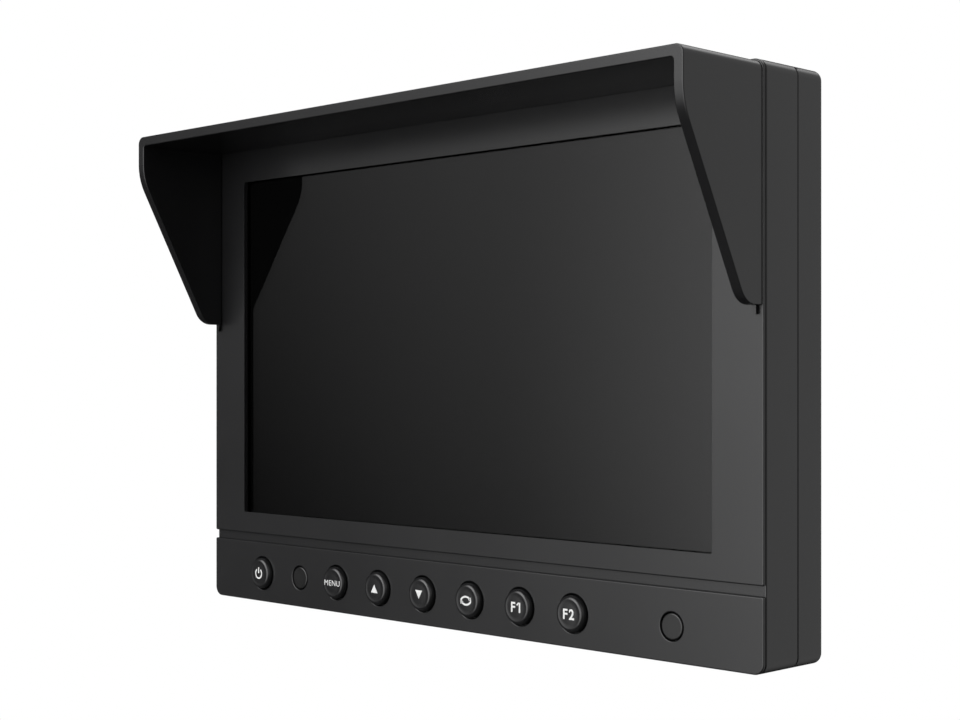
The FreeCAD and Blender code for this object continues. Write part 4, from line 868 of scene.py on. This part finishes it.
class MONITOR_OT_inside(bpy.types.Operator):
    """Dresses what is held inside the case"""
    bl_idname = "monitor.inside"
    bl_label = "Inside"

    def execute(self, context):
        steel = mottled("tray_steel", (0.5, 0.51, 0.52), (0.6, 0.61, 0.62), 90.0, 0.36, metallic=1.0,
                        bump=0.000004)
        board = mottled("green_board", (0.008, 0.09, 0.035), (0.012, 0.14, 0.05), 160.0, 0.34,
                        bump=0.00001, pitch=0.0008)
        resin = mottled("chip_resin", (0.012, 0.012, 0.013), (0.024, 0.024, 0.025), 900.0, 0.5,
                        bump=0.000008)
        switch = mottled("switch_plastic", (0.02, 0.02, 0.021), (0.032, 0.032, 0.033), 300.0, 0.45,
                         bump=0.000006)
        finishes = {
            "panel_tray": steel, "shield_can": steel,
            "panel_bracket": mottled("bracket_steel", (0.4, 0.41, 0.42), (0.52, 0.53, 0.54), 60.0,
                                     0.4, metallic=1.0, bump=0.000006),
            "main_board": board, "key_board": board,
            "video_chip": resin, "infrared_receiver": resin, "light_sensor": resin,
            "power_coils": mottled("coil_ferrite", (0.03, 0.03, 0.032), (0.06, 0.058, 0.056), 500.0,
                                   0.6, bump=0.00002),
            "board_capacitors": mottled("capacitor_can", (0.6, 0.6, 0.61), (0.72, 0.72, 0.73),
                                        300.0, 0.28, metallic=1.0),
            "lcd_ribbon": mottled("ribbon_film", (0.5, 0.26, 0.05), (0.62, 0.34, 0.08), 200.0, 0.3),
            "key_switches": switch, "speaker_frame": switch,
            "light_guide": mottled("clear_acrylic", (0.86, 0.88, 0.9), (0.92, 0.93, 0.94), 90.0,
                                   0.12, transmission_weight=1.0),
            "led_strip": mottled("lamp_strip", (0.75, 0.74, 0.55), (0.85, 0.84, 0.7), 250.0, 0.4),
            "speaker_cone": mottled("speaker_paper", (0.03, 0.028, 0.026), (0.055, 0.05, 0.046),
                                    700.0, 0.85, bump=0.00003),
            "speaker_magnet": mottled("magnet_steel", (0.3, 0.3, 0.31), (0.42, 0.42, 0.43), 200.0,
                                      0.35, metallic=1.0),
            "speaker_membrane": mottled("speaker_cloth", (0.008, 0.008, 0.008),
                                        (0.02, 0.02, 0.02), 2400.0, 0.95, bump=0.00006),
            "speaker_lead": mottled("lead_jacket", (0.03, 0.03, 0.03), (0.05, 0.05, 0.05), 400.0,
                                    0.5, bump=0.00001),
        }
        finishes["key_ribbon"] = finishes["lcd_ribbon"]
        for kind in KEYS:
            finishes[kind + "_plunger"] = switch
        for node, made in finishes.items():
            dress(node, made)
        return {"FINISHED"}


# Stage


def toward(around, up):
    """The direction of a light, from its angle round from the front to the left and its angle up."""
    around, up = math.radians(around), math.radians(up)
    return Vector((-math.sin(around) * math.cos(up), -math.cos(around) * math.cos(up),
                   math.sin(up)))


def add_soft_light(tree, view, around, up, spread, brightness):
    """A round soft patch of light in the surroundings, brightest in its middle."""
    facing = add_node(tree, "ShaderNodeVectorMath", (-700, 0), {0: view, 1: toward(around, up)},
                      operation="DOT_PRODUCT")
    patch = add_node(tree, "ShaderNodeMapRange", (-500, 0),
                     {"Value": facing.outputs["Value"],
                      "From Min": math.cos(math.radians(spread)), "To Max": brightness},
                     interpolation_type="SMOOTHSTEP")
    return patch.outputs["Result"]


class MONITOR_OT_stage(bpy.types.Operator):
    """Sets up the pale floor, the soft studio light and the camera"""
    bl_idname = "monitor.stage"
    bl_label = "Studio"

    def execute(self, context):
        look = context.scene.monitor_studio
        self.lay_floor()
        self.light_studio(context, look)
        self.place_camera(context, look)
        context.scene.view_settings.view_transform = "Standard"
        clear_selection()
        return {"FINISHED"}

    def lay_floor(self):
        """A white floor that the camera sees and that throws no light back at the monitor."""
        low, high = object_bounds()
        clear_selection()
        bpy.ops.mesh.primitive_circle_add(vertices=96, radius=6.0, fill_type="NGON",
                                          location=(0, 0, low.z - 0.1 * MM))
        floor = bpy.context.object
        floor.name = "studio_floor"
        made, tree, shader = start_material("floor_paint")
        white = add_node(tree, "ShaderNodeEmission", (-100, 300), {"Color": (1, 1, 1, 1)})
        clear = add_node(tree, "ShaderNodeBsdfTransparent", (-100, 100))
        path = add_node(tree, "ShaderNodeLightPath", (-300, 500))
        mix = add_node(tree, "ShaderNodeMixShader", (300, 200),
                       {0: path.outputs["Is Camera Ray"], 1: clear.outputs[0],
                        2: white.outputs[0]})
        tree.links.new(mix.outputs[0], tree.nodes["Material Output"].inputs["Surface"])
        floor.data.materials.append(made)
        floor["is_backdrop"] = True

    def light_studio(self, context, look):
        """White surroundings for the camera, and soft patches of light for the monitor."""
        world = bpy.data.worlds.new("studio")
        world.use_nodes = True
        tree = world.node_tree
        view = add_node(tree, "ShaderNodeTexCoord", (-900, 0)).outputs["Generated"]
        lights = (
            (5, 0, 40, look.level_light),
            (15, 15, 45, look.front_light),
            (25, 35, 30, look.high_light),
            (222, 4, 72, look.side_light),
            (315, 25, 50, look.fill_light),
            (170, 65, 38, look.top_light),
        )
        total = look.room_light
        for light in lights:
            total = math_node(tree, "ADD", add_soft_light(tree, view, *light), total, (-300, 0))
        path = add_node(tree, "ShaderNodeLightPath", (-600, 300))
        mix = add_node(tree, "ShaderNodeMix", (-100, 0), {0: path.outputs["Is Camera Ray"]},
                       data_type="FLOAT")
        mix.inputs[3].default_value = 1.0
        tree.links.new(total, mix.inputs[2])
        back = tree.nodes["Background"]
        back.inputs["Color"].default_value = (1, 1, 1, 1)
        tree.links.new(mix.outputs[0], back.inputs["Strength"])
        context.scene.world = world

    def place_camera(self, context, look):
        """The camera at the photograph's place, level and turned half way to the left."""
        bpy.ops.object.camera_add(location=look.camera_place,
                                  rotation=(math.radians(90), 0, math.radians(45)))
        camera = context.object
        camera.name = "photo_camera"
        camera.data.lens = look.camera_lens
        camera.data.sensor_width = 36
        camera.data.shift_y = look.camera_shift
        camera.data.clip_start = 0.01
        context.scene.camera = camera


class MONITOR_PT_panel(bpy.types.Panel):
    """Lists the steps that dress the monitor, and their sizes and colours"""
    bl_idname = "MONITOR_PT_panel"
    bl_label = "Monitor"
    bl_space_type = "VIEW_3D"
    bl_region_type = "UI"
    bl_category = "Monitor"

    def draw(self, context):
        layout = self.layout
        for step in STEPS:
            layout.operator(step.bl_idname)
        for group in GROUPS:
            box = layout.box()
            owner = getattr(context.scene, group)
            for field in owner.__annotations__:
                box.prop(owner, field)


GROUPS = {
    "monitor_plastics": MonitorPlastics,
    "monitor_screen": MonitorScreen,
    "monitor_keys": MonitorKeys,
    "monitor_studio": MonitorStudio,
}
STEPS = (
    MONITOR_OT_housing,
    MONITOR_OT_screen,
    MONITOR_OT_windows,
    MONITOR_OT_fasteners,
    MONITOR_OT_inlet,
    MONITOR_OT_inside,
    MONITOR_OT_keys,
    MONITOR_OT_stage,
)


def register():
    """Registers the groups, the steps and the panel."""
    for made in (*GROUPS.values(), *STEPS, MONITOR_PT_panel):
        bpy.utils.register_class(made)
    for name, group in GROUPS.items():
        setattr(bpy.types.Scene, name, bpy.props.PointerProperty(type=group))


def unregister():
    """Takes them off again."""
    for name in GROUPS:
        delattr(bpy.types.Scene, name)
    for made in reversed((*GROUPS.values(), *STEPS, MONITOR_PT_panel)):
        bpy.utils.unregister_class(made)


def main():
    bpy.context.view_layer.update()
    register()
    bpy.ops.monitor.housing()
    bpy.ops.monitor.screen()
    bpy.ops.monitor.windows()
    bpy.ops.monitor.fasteners()
    bpy.ops.monitor.inlet()
    bpy.ops.monitor.inside()
    bpy.ops.monitor.keys()
    bpy.ops.monitor.stage()


if __name__ == "__main__":
    main()
